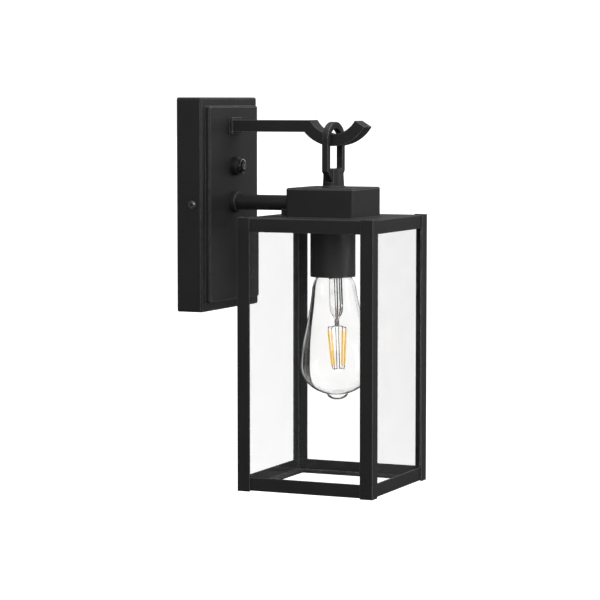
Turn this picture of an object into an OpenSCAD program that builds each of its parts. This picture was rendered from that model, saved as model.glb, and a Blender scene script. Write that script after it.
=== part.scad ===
// Outdoor wall lantern: a back plate with a photocell, a square lantern on a
// tube arm, and a flat bar with a hook that a long link stands up around.
// The wall is the plane Y = 0, the lantern hangs towards -Y, and Z is up.
// The origin is the middle of the back plate, on the wall.

/* [Back plate] */
// Width of the back plate
plate_w = 113; // [95:1:150]
// Height of the back plate
plate_h = 187; // [175:1:240]
// Depth of the back plate's side walls
plate_d = 23.7; // [21:0.1:34]
// Sheet thickness of the back plate
plate_wall = 2; // [1.5:0.1:3]
// Corner radius of the back plate
plate_corner = 2.6; // [2:0.1:5]
// Plain border around the raised panel
panel_border = 7.5; // [5:0.5:12]
// Height of the raised panel above the border
panel_raise = 4.7; // [3:0.1:7]
// Chamfer on the raised panel's edge
panel_chamfer = 1.3; // [0.5:0.1:2]

/* [Bracket] */
// Height of the mounting bracket
bracket_h = 22; // [16:1:30]
// Sheet thickness of the bracket
bracket_t = 1.6; // [1.2:0.1:2.5]
// Distance between the two wall screw slots
slot_spacing = 88.9; // [80:0.1:89]
// Length of each wall screw slot
slot_length = 14; // [8:0.5:14]
// Width of each wall screw slot
slot_w = 4.8; // [4:0.1:6]
// Distance of the side screws from the wall
side_screw_y = 14.5; // [11:0.1:15.5]
// Radius of a side screw's shank
side_screw_r = 1.9; // [1.5:0.1:2.5]

/* [Photocell] */
// Height of the photocell above the plate's middle
cell_z = 32.8; // [24:0.1:42]
// Radius of the photocell's collar
cell_collar_r = 8.2; // [6.5:0.1:10]
// Thickness of the photocell's collar
cell_collar_t = 5.6; // [3:0.1:7]
// Radius of the photocell's clear dome
cell_dome_r = 6.5; // [5:0.1:6.5]
// Radius of the photocell's threaded barrel
cell_barrel_r = 6; // [5:0.1:7]

/* [Upper arm] */
// Height of the upper arm's bar above the plate's middle, to its centre line
arm_z = 68.5; // [64:0.1:72]
// Height of the bar
arm_h = 10.2; // [9:0.1:12]
// Width of the bar
arm_w = 17.5; // [12:0.1:20]
// Outer radius of the hook
hook_r = 34.9; // [31:0.1:36]
// Height of the hook's centre above the bar's centre line
hook_rise = 17.7; // [16:0.1:20]
// Angle from straight down to the hook's cut end
hook_end = 58.5; // [40:0.5:70]
// Width of the collar where the bar meets the plate
collar_w = 20; // [19:0.1:26]
// Height of that collar
collar_h = 15; // [13:0.1:18]
// Thickness of that collar
collar_t = 3; // [1:0.1:4]

/* [Tube arm] */
// Radius of the tube arm
tube_r = 6.75; // [6:0.05:8.2]
// Bore radius of the tube arm
tube_bore = 5; // [4.5:0.1:5]
// Height of the tube's axis above the plate's middle
tube_z = 1.1; // [0:0.1:3]
// Radius of the tube's flange at the plate
flange_r = 9.4; // [9:0.1:13]
// Thickness of that flange
flange_t = 4.6; // [2:0.1:6]

/* [Box cap] */
// Width of the square box that carries the lantern
box_w = 63; // [56:1:76]
// Height of the box
box_h = 25.4; // [23:0.1:32]
// Wall thickness of the box
box_wall = 2; // [1.5:0.1:3]
// Corner radius of the box
box_corner = 2; // [1.5:0.1:4]

/* [Link] */
// Thickness of the link's square rod
link_rod = 5.8; // [4.5:0.1:6.5]
// Distance between the link's legs, centre to centre
link_span = 32.1; // [28:0.1:36]
// Height of the link's arch above its straight legs
link_rise = 15; // [14:0.1:18]
// Radius of the arch's shoulders
link_shoulder = 12.5; // [10:0.1:13]
// Length of the straight legs
link_leg = 28; // [26:0.5:32]
// Height of the boss that holds the link
boss_h = 16.3; // [14:0.1:19]
// Radius of the boss at its top
boss_r = 8.7; // [8:0.1:11]
// Radius of the boss at its foot
boss_foot_r = 9.4; // [9:0.1:12]

/* [Lantern] */
// Distance of the lantern's axis from the wall
lantern_y = 124; // [112:1:170]
// Outer width of the lantern's rails
lantern_w = 124; // [106:1:160]
// Height of the lantern from roof to bottom frame
lantern_h = 236; // [205:1:300]
// Level of the roof below the plate's middle
roof_drop = 10; // [9:0.1:11]
// Thickness of the roof plate
roof_t = 1.5; // [1:0.1:3]
// Height of the top and bottom rails
rail_h = 11.8; // [10:0.1:16]
// Sheet thickness of rails and posts
sheet_t = 1.2; // [1:0.1:1.8]
// Leg width of the corner posts
post_leg = 11.8; // [9:0.1:15]
// How far the posts run past the roof and the bottom frame
post_over = 0.7; // [0:0.1:2]
// Width of the bottom frame's inward ledge, from the rail's outer face
ledge_w = 10.2; // [8:0.1:14]
// Thickness of that ledge
ledge_t = 2.4; // [1.5:0.1:3.5]

/* [Glass] */
// Thickness of the glass panes
glass_t = 3; // [2:0.1:4]
// Clearance between a pane and the metal around it
glass_gap = 0.3; // [0.2:0.1:0.8]

/* [Lampholder] */
// Radius of the socket cup
cup_r = 19.75; // [19:0.05:24]
// Length of the socket cup
cup_len = 51; // [49:0.5:60]
// Wall thickness of the socket cup
cup_wall = 1.2; // [0.8:0.1:1.2]
// Radius of the threaded nipple
nipple_r = 5; // [4.8:0.1:5.5]
// Bore radius of the nipple
nipple_bore = 3.3; // [3.1:0.1:3.6]

/* [Bulb] */
// Overall length of the bulb
bulb_len = 140; // [128:1:150]
// Largest radius of the bulb
bulb_r = 32; // [28:0.5:36]
// Radius of the bulb's screw base
base_r = 13; // [12.7:0.1:13.2]
// Wall thickness of the bulb's glass
bulb_wall = 0.9; // [0.6:0.1:1.4]
// Length of each filament
filament_len = 31.7; // [24:0.1:34]
// How far the glass leans from its base, in degrees
glass_lean = 1.9; // [0:0.1:2]

/* [Hidden] */
$fn = 48;
eps = 0.01;

powder_black = [0.13, 0.13, 0.135];
zinc = [0.72, 0.73, 0.74];
brass = [0.78, 0.62, 0.30];
clear_glass = [0.85, 0.92, 0.95, 0.35];
amber = [0.98, 0.78, 0.25];
dark_plastic = [0.10, 0.10, 0.11];

// Places worked out from the sizes above.
panel_y = plate_d + panel_raise;
panel_w = plate_w - 2 * panel_border;
panel_h = plate_h - 2 * panel_border;
inner_w = plate_w - 2 * plate_wall;
inner_h = plate_h - 2 * plate_wall;
skin_y = panel_y - plate_wall;
roof_top = -roof_drop;
roof_under = roof_top - roof_t;
lantern_bottom = roof_top - lantern_h;
rail_c = lantern_w / 2;
box_top = roof_top + box_h;
box_back = lantern_y - box_w / 2;
boss_top = box_top + boss_h;

// Fasteners, fits and edges.
head_r = 4;
head_t = 2;
thread_reach = 9;
screw_gap = 0.2;
nut_across = 7.6;
nut_t = 4;
nut_rim = 2.6;
m4_r = 2;
edge = 0.8;
soft_edge = 1.4;
tab_gap = 0.3;
tab_d = 19;
tab_screw_end = 4;
seal_w = 5;
seal_t = 3;
seal_gap = 1;

// Photocell: barrel behind the plate, neck and dome in front of its collar.
cell_barrel_len = 12;
cell_barrel_wall = 2;
cell_collar_edge = 1.2;
cell_neck_r = cell_barrel_r - 0.6;
cell_neck_t = 3;
cell_dome_len = 7.6;
cell_dome_wall = 1.2;
cell_dome_round = 1.25;
cell_chip_r = cell_dome_r - 2.2;
cell_chip_t = 1.6;

// Hook: the ring's inner circle meets the top of the bar, its outer circle the underside.
hook_ahead = 2.5;
hook_in = hook_r - arm_h;
hook_z = arm_z + hook_rise;
bar_top = arm_z + arm_h / 2;
bar_under = arm_z - arm_h / 2;
hook_y = lantern_y + hook_ahead;
bar_end = hook_y - sqrt(pow(hook_r, 2) - pow(hook_z - bar_under, 2));

// Tube arm: its ends are turned down by a shoulder where the nuts hold it, and a saddle stands under it.
tube_shoulder = 1;
tube_past_nut = 1.5;
tube_start = skin_y - nut_t - tube_past_nut;
tube_end = box_back + box_wall + nut_t + tube_past_nut;
saddle_w = 9;
saddle_len = 16.5;
saddle_wrap = 1.5;
saddle_gap = 0.05;

// Pillars in the box for its screws.
pillar_in = 3.4;
pillar_r = 3.6;
pillar_x = box_w / 2 - box_wall - pillar_in;

// Link and the slot in its boss.
slot_gap = 0.4;
link_foot_len = 11.5;
link_corner = 2.4;
foot_half = boss_r - 0.7;
link_half = (link_span + link_rod) / 2;
link_foot_z = boss_top - link_foot_len;
link_corner_z = boss_top - link_corner;
link_arch_z = boss_top + link_leg - link_corner;
boss_rim = 1;
boss_rim_t = 1.2;

// Glass: the side panes run the full inner depth, and the other two fit between them.
glass_face = rail_c - sheet_t - glass_gap;
glass_z = lantern_bottom + ledge_t;
glass_h = roof_under - 1 - glass_z;
clip_w = 9;
clip_t = 0.8;
clip_foot = 7;
clip_drop = 8;
clip_x = lantern_w * 0.3;

// Lampholder and bulb, measured down from the roof plate's underside.
cup_top = roof_under;
cup_bottom = cup_top - cup_len;
cup_edge = 1;
holder_gap = 0.5;
holder_r = cup_r - cup_wall - holder_gap;
holder_top = cup_top - cup_wall;
holder_len = 44.5;
holder_bottom = holder_top - holder_len;
floor_z = holder_top - 11.3;
floor_t = 3;
chamber_r = 9;
shell_t = 0.5;
shell_gap = 0.4;
shell_len = 24;
shell_hole_r = 5;
shell_r = base_r + shell_gap + shell_t;
contact_z = floor_z - floor_t - 3.2;
contact_r = 3.4;
contact_pin_r = 1.5;
contact_cap_r = 2.6;
contact_t = 0.8;
rivet_x = 6.4;
rivet_r = 1.2;
rivet_cap_r = 2.1;
rivet_head_r = 2;
rivet_head_t = 0.6;
nipple_top = roof_top + 5.5;
nipple_bottom = holder_top - 5;

// Earth screws: one in the bracket, and one in the roof on the diagonal, midway between the socket cup
// and the pillar of a box screw.
earth_x = 22;
earth_z = 5;
earth_r = 1.5;
earth_head_r = 3.6;
roof_earth = (cup_r + pillar_x * sqrt(2) - pillar_r) / 2 / sqrt(2);

// Bulb: heights are distances down from its contact tip.
bulb_gap = 0.4;
bulb_top = contact_z - bulb_gap;
thread_pitch = 3.63;
thread_deep = 0.9;
base_start = 4.6;
base_turns = 5;
base_len = 26.5;
base_wall = 1.5;
base_bore = base_r - base_wall;
base_cone_r = base_r - 4;
tip_flat_r = 2.4;
tip_foot_r = 4.6;
tip_solder_t = 1.4;
cement_len = 3.5;
neck_r = base_bore - 0.7;
widest = bulb_len * 0.78;
tip_r = 9.3;
tip_len = 5.4;
end_depth = bulb_len - tip_len - widest;
end_turn = acos(tip_r / bulb_r);

// The glass leans about a point in its neck, towards one side.
lean_depth = 9;
lean_side = 24;

// Stem, filaments and their wires. Each filament end is a radius and a distance down.
stem_start = base_len + 0.5;
stem_end = 68.2;
stem_r = 5.4;
stem_wall = 0.8;
stem_flange_r = 9.2;
pinch_len = 6;
fil_r = 0.9;
fil_top_r = 9.1;
fil_foot_r = 6.3;
fil_top = 79;
fil_foot = fil_top + sqrt(pow(filament_len, 2) - pow(fil_top_r - fil_foot_r, 2));
fil_turn = -9;
wire_r = 0.4;
wire_x = 1;
post_x = 1.2;
post_turn = fil_turn + 45;
clamp_r = 2.1;
clamp_len = 6;

// Leads.
lead_r = 1.1;
lead_x = 1.5;
lead_sides = 8;
connector_x = 12;
connector_z = -34;
connector_len = 19;
connector_r = 5.6;
connector_tip_r = 3.4;
connector_bore = 2.6;
supply_y = 11;
pair_z = tube_z - 1.2;
earth_run_z = tube_z + 2;
bend_y = lantern_y - 12;
mid_y = (panel_y + bend_y) / 2;
lead_end_z = floor_z + 0.9;

// Helpers.
module from_wall(d = 0) translate([0, -d, 0]) rotate([90, 0, 0]) children();
module side_view() rotate([90, 0, -90]) children();
module at_lantern(z = 0) translate([0, -lantern_y, z]) children();
module both_sides() { children(); mirror([1, 0, 0]) children(); }
module four_sides() for (a = [0:90:270]) rotate(a) children();

module rounded_rect(w, h, r) {
    square([w - 2 * r, h], center = true);
    square([w, h - 2 * r], center = true);
    for (x = [-1, 1], y = [-1, 1])
        translate([x * (w / 2 - r), y * (h / 2 - r)]) circle(r);
}

// A slab with its upper edges chamfered, standing on its lower face.
module chamfered_slab(w, h, d, r, c) {
    intersection() {
        linear_extrude(d) rounded_rect(w, h, r);
        rotate([90, 0, 0]) linear_extrude(h + 2, center = true) chamfer_outline(w, d, c);
        rotate([90, 0, 90]) linear_extrude(w + 2, center = true) chamfer_outline(h, d, c);
    }
}
module chamfer_outline(w, d, c)
    polygon([[-w / 2, 0], [w / 2, 0], [w / 2, d - c], [w / 2 - c, d], [c - w / 2, d], [-w / 2, d - c]]);

module tube(r, bore, h) difference() {
    cylinder(r = r, h = h);
    translate([0, 0, -1]) cylinder(r = bore, h = h + 2);
}
module hex_nut(across, bore, h) difference() {
    cylinder(r = across / cos(30), h = h, $fn = 6);
    translate([0, 0, -1]) cylinder(r = bore, h = h + 2);
}
// A round-headed cross-slot screw: the head stands on z = 0 and the shank goes down.
module cross_screw(r, len, hr, ht) {
    slot = hr * 0.28;
    difference() {
        rotate_extrude()
            polygon([[0, -len], [r, -len], [r, 0], [hr, 0], [hr, ht * 0.45], [hr * 0.62, ht], [0, ht]]);
        for (a = [0, 90])
            rotate(a) translate([-hr * 0.55, -slot / 2, ht * 0.35]) cube([hr * 1.1, slot, ht]);
    }
}
module rod(a, b, r) {
    v = b - a;
    len = norm(v);
    translate(a) rotate([0, acos(v[2] / len), atan2(v[1], v[0])]) cylinder(r = r, h = len, $fn = 16);
}

// Back plate.
module plate_outline(inset)
    rounded_rect(plate_w - 2 * inset, plate_h - 2 * inset, max(plate_corner - inset, 0.6));

module back_plate() color(powder_black) difference() {
    union() {
        from_wall() chamfered_slab(plate_w, plate_h, plate_d, plate_corner, soft_edge);
        from_wall(plate_d - 1) chamfered_slab(panel_w, panel_h, panel_raise + 1, plate_corner, panel_chamfer);
    }
    from_wall(-1) linear_extrude(plate_d - plate_wall + 1) plate_outline(plate_wall);
    from_wall(plate_d - plate_wall - 1) linear_extrude(panel_raise + 1)
        rounded_rect(panel_w - 2 * plate_wall, panel_h - 2 * plate_wall, 1);
    plate_hole(arm_z, m4_r + screw_gap);
    plate_hole(cell_z, cell_barrel_r);
    plate_hole(tube_z, tube_r - tube_shoulder);
    both_sides() translate([inner_w / 2 - 1, -side_screw_y, 0])
        rotate([0, 90, 0]) cylinder(r = side_screw_r + screw_gap, h = plate_wall + 2);
}
module plate_hole(z, r) translate([0, 0, z]) from_wall(skin_y - 1) cylinder(r = r, h = plate_wall + 2);

module wall_seal(side) color(dark_plastic) intersection() {
    from_wall() linear_extrude(seal_t) difference() {
        plate_outline(plate_wall);
        rounded_rect(inner_w - 2 * seal_w, inner_h - 2 * seal_w, 1);
    }
    mirror([0, 0, side]) translate([-plate_w, -plate_d, bracket_h / 2 + seal_gap])
        cube([2 * plate_w, plate_d + 1, plate_h]);
}

module mounting_bracket() color(zinc) difference() {
    tab_x = inner_w / 2 - tab_gap;
    union() {
        translate([-tab_x, -bracket_t, -bracket_h / 2]) cube([2 * tab_x, bracket_t, bracket_h]);
        both_sides() translate([tab_x - bracket_t, -tab_d, -bracket_h / 2])
            cube([bracket_t, tab_d, bracket_h]);
    }
    for (x = [-1, 1]) translate([x * slot_spacing / 2, 0, 0]) from_wall(-1) linear_extrude(bracket_t + 2) {
        square([slot_length - slot_w, slot_w], center = true);
        for (e = [-1, 1]) translate([e * (slot_length - slot_w) / 2, 0]) circle(slot_w / 2);
    }
    both_sides() translate([tab_x - bracket_t - 1, -side_screw_y, 0])
        rotate([0, 90, 0]) cylinder(r = side_screw_r, h = bracket_t + 2);
    translate([earth_x, 0, earth_z]) from_wall(-1) cylinder(r = earth_r, h = bracket_t + 2);
}

module side_screws() color(zinc) both_sides() translate([plate_w / 2, -side_screw_y, 0])
    rotate([0, 90, 0])
        cross_screw(side_screw_r, plate_wall + tab_gap + bracket_t + tab_screw_end, head_r, head_t);

// Photocell.
module at_cell(d) translate([0, 0, cell_z]) from_wall(d) children();
module photocell_housing() color(dark_plastic) at_cell(skin_y - cell_barrel_len) {
    through = cell_barrel_len + plate_wall;
    difference() {
        union() {
            cylinder(r = cell_barrel_r, h = through);
            translate([0, 0, through]) rotate_extrude() polygon([[0, 0], [cell_collar_r, 0],
                [cell_collar_r, cell_collar_t - cell_collar_edge],
                [cell_collar_r - cell_collar_edge, cell_collar_t], [0, cell_collar_t]]);
            translate([0, 0, through + cell_collar_t]) cylinder(r = cell_neck_r, h = cell_neck_t);
        }
        translate([0, 0, -1]) cylinder(r = cell_barrel_r - cell_barrel_wall, h = through + cell_collar_t);
    }
}
// Clear cap with a cylindrical wall and a domed, hollow end.
module photocell_dome() color(clear_glass) at_cell(panel_y + cell_collar_t + cell_neck_t)
    rotate_extrude() difference() {
        dome_outline(cell_dome_r, cell_dome_len);
        translate([0, -eps]) dome_outline(cell_dome_r - cell_dome_wall, cell_dome_len - cell_dome_wall);
    }
module dome_outline(r, h) intersection() {
    square([r, h]);
    translate([0, h - r * cell_dome_round]) circle(r * cell_dome_round);
}
module photocell_sensor() color(amber) at_cell(panel_y + cell_collar_t + cell_neck_t)
    cylinder(r = cell_chip_r, h = cell_chip_t);
module photocell_nut() color(dark_plastic) at_cell(skin_y - nut_t)
    hex_nut(cell_barrel_r + nut_rim, cell_barrel_r, nut_t);

// Upper arm: a flat bar that ends in a hook, seen from the side.
module upper_arm() color(powder_black) difference() {
    side_view() linear_extrude(arm_w, center = true) {
        translate([panel_y, bar_under]) square([bar_end - panel_y + 2, arm_h]);
        intersection() {
            translate([hook_y, hook_z]) difference() {
                circle(hook_r, $fn = 96);
                circle(hook_in, $fn = 96);
            }
            hook_sector();
        }
    }
    translate([0, 0, arm_z]) from_wall(panel_y - 1) cylinder(r = m4_r, h = thread_reach + 1);
}
// The stretch of the ring that is kept: under the bar's top on the wall side, up to the cut end in front.
module hook_sector() {
    far = 2 * hook_r;
    top = bar_top - hook_z;
    translate([hook_y, hook_z]) polygon([[0, 0], [far * sin(hook_end), -far * cos(hook_end)],
        [far * sin(hook_end), -far], [-far, -far], [-far, top], [top * tan(60), top]]);
}
module arm_collar() color(powder_black) translate([0, 0, arm_z]) from_wall(panel_y) difference() {
    chamfered_slab(collar_w, collar_h, collar_t, 1, edge / 2);
    translate([0, 0, -1]) linear_extrude(collar_t + 2) square([arm_w, arm_h], center = true);
}
module arm_screw() color(zinc) translate([0, 0, arm_z]) from_wall(skin_y) mirror([0, 0, 1])
    cross_screw(m4_r, plate_wall + thread_reach, head_r, head_t);

// Tube arm, between the plate and the box cap.
module at_tube(d) translate([0, 0, tube_z]) from_wall(d) children();
module tube_arm() color(powder_black) at_tube(0) difference() {
    union() {
        translate([0, 0, panel_y]) cylinder(r = tube_r, h = box_back - panel_y);
        translate([0, 0, tube_start]) cylinder(r = tube_r - tube_shoulder, h = tube_end - tube_start);
    }
    translate([0, 0, tube_start - 1]) cylinder(r = tube_bore, h = tube_end - tube_start + 2);
}
module tube_flange() color(powder_black) at_tube(panel_y) difference() {
    rotate_extrude() polygon([[0, 0], [flange_r, 0], [flange_r, flange_t - edge],
        [flange_r - edge, flange_t], [0, flange_t]]);
    translate([0, 0, -1]) cylinder(r = tube_r, h = flange_t + 2);
}
module tube_nut_plate() color(zinc) at_tube(skin_y - nut_t)
    hex_nut(tube_r + nut_rim - tube_shoulder, tube_r - tube_shoulder, nut_t);
module tube_nut_box() color(zinc) at_tube(box_back + box_wall)
    hex_nut(tube_r + nut_rim - tube_shoulder, tube_r - tube_shoulder, nut_t);
module tube_saddle() color(powder_black) difference() {
    translate([-saddle_w / 2, -box_back, roof_top])
        cube([saddle_w, saddle_len, tube_z - tube_r - roof_top + saddle_wrap]);
    at_tube(0) cylinder(r = tube_r + saddle_gap, h = lantern_y);
}

// Box cap on the roof.
module box_cap() color(powder_black) difference() {
    union() {
        difference() {
            at_lantern(roof_top) chamfered_slab(box_w, box_w, box_h, box_corner, soft_edge);
            at_lantern(roof_top - 1) linear_extrude(box_h - box_wall + 1)
                rounded_rect(box_w - 2 * box_wall, box_w - 2 * box_wall, edge);
        }
        at_lantern(roof_top) for (x = [-1, 1], y = [-1, 1])
            translate([x * pillar_x, y * pillar_x, 0]) cylinder(r = pillar_r, h = box_h - 1);
    }
    at_lantern(roof_top - 1) for (x = [-1, 1], y = [-1, 1])
        translate([x * pillar_x, y * pillar_x, 0]) cylinder(r = m4_r, h = thread_reach + 1);
    at_tube(box_back - 1) cylinder(r = tube_r - tube_shoulder, h = box_wall + 2);
    at_lantern(box_top - box_wall - 1) cylinder(r = m4_r + screw_gap, h = box_wall + 2);
}
module box_screws() color(zinc) at_lantern(roof_under) for (x = [-1, 1], y = [-1, 1])
    translate([x * pillar_x, y * pillar_x, 0]) mirror([0, 0, 1])
        cross_screw(m4_r, roof_t + thread_reach, head_r, head_t);

// Link: a closed loop of square rod with an arched top and a tapered foot in the boss's slot.
module arch_outline(half, rise, shoulder, down) {
    xs = half - shoulder;
    big = (pow(xs, 2) + pow(rise, 2) - pow(shoulder, 2)) / (2 * (rise - shoulder));
    for (x = [-xs, xs]) translate([x, 0]) circle(shoulder, $fn = 64);
    intersection() {
        translate([0, rise - big]) circle(big, $fn = 96);
        polygon([[0, rise - big], [4 * xs, 3 * (big - rise)], [-4 * xs, 3 * (big - rise)]]);
    }
    translate([-half, -down]) square([2 * half, down]);
}
module hanging_link() color(powder_black) at_lantern() rotate([90, 0, 0])
    linear_extrude(link_rod, center = true) difference() {
        union() {
            translate([0, link_arch_z])
                arch_outline(link_half, link_rise, link_shoulder, link_arch_z - link_corner_z);
            polygon([[-link_half, link_corner_z], [-foot_half, link_foot_z], [foot_half, link_foot_z],
                [link_half, link_corner_z]]);
        }
        translate([0, link_arch_z]) arch_outline(link_half - link_rod, link_rise - link_rod,
            link_shoulder - link_rod, link_arch_z - boss_top);
    }
module link_boss() color(powder_black) difference() {
    at_lantern(box_top) rotate_extrude() polygon([[0, 0], [boss_foot_r + boss_rim, 0],
        [boss_foot_r + boss_rim, boss_rim_t], [boss_foot_r, boss_rim_t], [boss_r, boss_h - edge],
        [boss_r - edge, boss_h], [0, boss_h]]);
    at_lantern(link_foot_z) translate([-boss_foot_r - 2 * boss_rim, -link_rod / 2 - slot_gap, 0])
        cube([2 * boss_foot_r + 4 * boss_rim, link_rod + 2 * slot_gap, boss_h]);
    at_lantern(box_top - 1) cylinder(r = m4_r, h = link_foot_z - box_top);
}
module boss_screw() color(zinc) at_lantern(box_top - box_wall) mirror([0, 0, 1])
    cross_screw(m4_r, box_wall + link_foot_z - box_top - tube_past_nut, head_r, head_t);

// Lantern frame.
module roof_pan() color(powder_black) at_lantern() difference() {
    translate([-rail_c, -rail_c, roof_top - rail_h]) cube([lantern_w, lantern_w, rail_h]);
    translate([sheet_t - rail_c, sheet_t - rail_c, roof_top - rail_h - 1])
        cube([lantern_w - 2 * sheet_t, lantern_w - 2 * sheet_t, rail_h - roof_t + 1]);
    translate([0, 0, roof_under - 1]) cylinder(r = nipple_r + screw_gap, h = roof_t + 2);
    for (x = [-1, 1], y = [-1, 1])
        translate([x * pillar_x, y * pillar_x, roof_under - 1])
            cylinder(r = m4_r + screw_gap, h = roof_t + 2);
    translate([roof_earth, roof_earth, roof_under - 1]) cylinder(r = earth_r, h = roof_t + 2);
}
// An angle of sheet around one corner of the rails: sx and sy are the corner's signs.
module corner_post(sx, sy) color(powder_black) at_lantern(lantern_bottom - post_over)
    linear_extrude(lantern_h + 2 * post_over) in_corner(sx, sy) difference() {
        translate([rail_c + sheet_t - post_leg, rail_c + sheet_t - post_leg]) square(post_leg);
        translate([-rail_c, -rail_c]) square(lantern_w);
    }
module in_corner(sx, sy) mirror([sx < 0 ? 1 : 0, 0]) mirror([0, sy < 0 ? 1 : 0]) children();
module post_front_left() corner_post(-1, -1);
module post_front_right() corner_post(1, -1);
module post_wall_left() corner_post(-1, 1);
module post_wall_right() corner_post(1, 1);

module bottom_frame() color(powder_black) at_lantern(lantern_bottom) difference() {
    translate([-rail_c, -rail_c, 0]) cube([lantern_w, lantern_w, rail_h]);
    translate([sheet_t - rail_c, sheet_t - rail_c, ledge_t])
        cube([lantern_w - 2 * sheet_t, lantern_w - 2 * sheet_t, rail_h]);
    translate([ledge_w - rail_c, ledge_w - rail_c, -1])
        cube([lantern_w - 2 * ledge_w, lantern_w - 2 * ledge_w, rail_h]);
}

// Glass: the side panes run the full inner depth, and the other two fit between them.
module pane(half_len) color(clear_glass) translate([-half_len, -glass_face, glass_z])
    cube([2 * half_len, glass_t, glass_h]);
module glass_front() at_lantern() pane(glass_face - glass_t - glass_gap);
module glass_wall_side() at_lantern() rotate(180) pane(glass_face - glass_t - glass_gap);
module glass_left() at_lantern() rotate(-90) pane(glass_face);
module glass_right() at_lantern() rotate(90) pane(glass_face);

module glass_clips() color(zinc) at_lantern(roof_under) four_sides() for (x = [-1, 1])
    translate([x * clip_x - clip_w / 2, glass_t - glass_face, 0]) {
        translate([0, 0, -clip_t]) cube([clip_w, clip_foot, clip_t]);
        translate([0, 0, -clip_drop]) cube([clip_w, clip_t, clip_drop]);
    }

// Lampholder.
module socket_cup() color(powder_black) at_lantern(cup_bottom) difference() {
    rotate_extrude() polygon([[0, 0], [cup_r, 0], [cup_r, cup_len - cup_edge], [cup_r - cup_edge, cup_len],
        [0, cup_len]]);
    translate([0, 0, -1]) cylinder(r = cup_r - cup_wall, h = cup_len - cup_wall + 1);
    cylinder(r = nipple_r, h = cup_len + 1);
}
module threaded_nipple() color(zinc) at_lantern(nipple_bottom)
    tube(nipple_r, nipple_bore, nipple_top - nipple_bottom);
module nipple_nut() color(zinc) at_lantern(roof_top) hex_nut(nut_across, nipple_r, nut_t);
module lampholder_body() color(dark_plastic) at_lantern() difference() {
    translate([0, 0, holder_bottom]) cylinder(r = holder_r, h = holder_len);
    translate([0, 0, holder_bottom - 1]) cylinder(r = shell_r, h = floor_z - floor_t - holder_bottom + 1);
    translate([0, 0, floor_z]) cylinder(r = chamber_r, h = nipple_bottom - floor_z);
    translate([0, 0, nipple_bottom - 1]) cylinder(r = nipple_r, h = holder_top - nipple_bottom + 2);
    translate([0, 0, floor_z - floor_t - 1]) cylinder(r = contact_pin_r, h = floor_t + 2);
    translate([rivet_x, 0, floor_z - floor_t - 1]) cylinder(r = rivet_r, h = floor_t + 2);
}
module screw_shell() color(brass) at_lantern(floor_z - floor_t - shell_len) difference() {
    cylinder(r = shell_r, h = shell_len);
    translate([0, 0, -1]) cylinder(r = shell_r - shell_t, h = shell_len - shell_t + 1);
    cylinder(r = shell_hole_r, h = shell_len + 1);
    translate([rivet_x, 0, 0]) cylinder(r = rivet_r, h = shell_len + 1);
}
module centre_contact() color(brass) at_lantern() {
    translate([0, 0, contact_z]) cylinder(r = contact_r, h = contact_t);
    translate([0, 0, contact_z]) cylinder(r = contact_pin_r, h = floor_z - contact_z);
    translate([0, 0, floor_z]) cylinder(r = contact_cap_r, h = contact_t);
}
module shell_rivet() color(brass) at_lantern() translate([rivet_x, 0, 0]) {
    under = floor_z - floor_t - shell_t;
    translate([0, 0, under]) cylinder(r = rivet_r, h = floor_t + shell_t);
    translate([0, 0, floor_z]) cylinder(r = rivet_cap_r, h = contact_t);
    translate([0, 0, under - rivet_head_t]) cylinder(r = rivet_head_r, h = rivet_head_t);
}

// Bulb.
module at_bulb() at_lantern(bulb_top) mirror([0, 0, 1]) children();
module at_glass() at_lantern(bulb_top - lean_depth)
    rotate(a = glass_lean, v = [-cos(lean_side), -sin(lean_side), 0])
    mirror([0, 0, 1]) translate([0, 0, -lean_depth]) children();
function wave(t) = base_r - thread_deep / 2 + thread_deep / 2 * cos(360 * t);
base_outline = [for (i = [0:6 * base_turns]) [wave(i / 6), base_start + base_wall + thread_pitch * i / 6]];
insulator_top = base_start + 0.8;
module bulb_base() color(zinc) at_bulb() rotate_extrude() polygon(concat(
    [[base_cone_r, base_start - 1], [base_bore, base_start]], base_outline,
    [[base_r - 0.3, base_len], [base_bore, base_len], [base_bore, insulator_top]]));
// Cement between the base and the glass's neck, which it holds as it leans.
module base_cement() color([0.8, 0.74, 0.62]) difference() {
    at_bulb() translate([0, 0, base_len - cement_len - 0.5]) cylinder(r = base_bore, h = cement_len);
    at_glass() translate([0, 0, base_len - 2 * cement_len]) cylinder(r = neck_r, h = 4 * cement_len);
}
module base_insulator() color(dark_plastic) at_bulb()
    rotate_extrude() polygon([[0, tip_solder_t], [tip_foot_r, tip_solder_t], [base_cone_r, base_start - 1],
        [base_bore, insulator_top], [0, insulator_top]]);
module contact_tip() color(zinc) at_bulb()
    rotate_extrude() polygon([[0, 0], [tip_flat_r, 0], [tip_foot_r - 0.4, tip_solder_t / 2],
        [tip_foot_r, tip_solder_t], [0, tip_solder_t]]);

// The glass outline: a neck in the base, a shoulder, a long flare to the widest ring, a round end
// and a nipple.
flare_pts = [[neck_r, base_len - 4.5], [neck_r, base_len + 0.5], [bulb_r * 0.45, base_len + 5.3],
    [bulb_r * 0.57, base_len + 12.8], [bulb_r * 0.625, base_len + 21.5], [bulb_r * 0.7, bulb_len * 0.44],
    [bulb_r * 0.83, bulb_len * 0.565], [bulb_r * 0.93, bulb_len * 0.66], [bulb_r, widest]];
end_pts = [for (i = [1:10]) let (a = end_turn * i / 10)
    [bulb_r * cos(a), widest + end_depth * sin(a) / sin(end_turn)]];
tip_pts = [for (i = [1:5]) let (a = 90 * i / 5) [tip_r * cos(a), bulb_len - tip_len + tip_len * sin(a)]];
glass_line = concat(smooth(flare_pts, 3), end_pts, tip_pts);
function inward(p) = [max(p[0] - bulb_wall, 0),
    p[1] > widest ? p[1] - bulb_wall * (p[1] - widest) / (bulb_len - widest) : p[1]];
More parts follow.
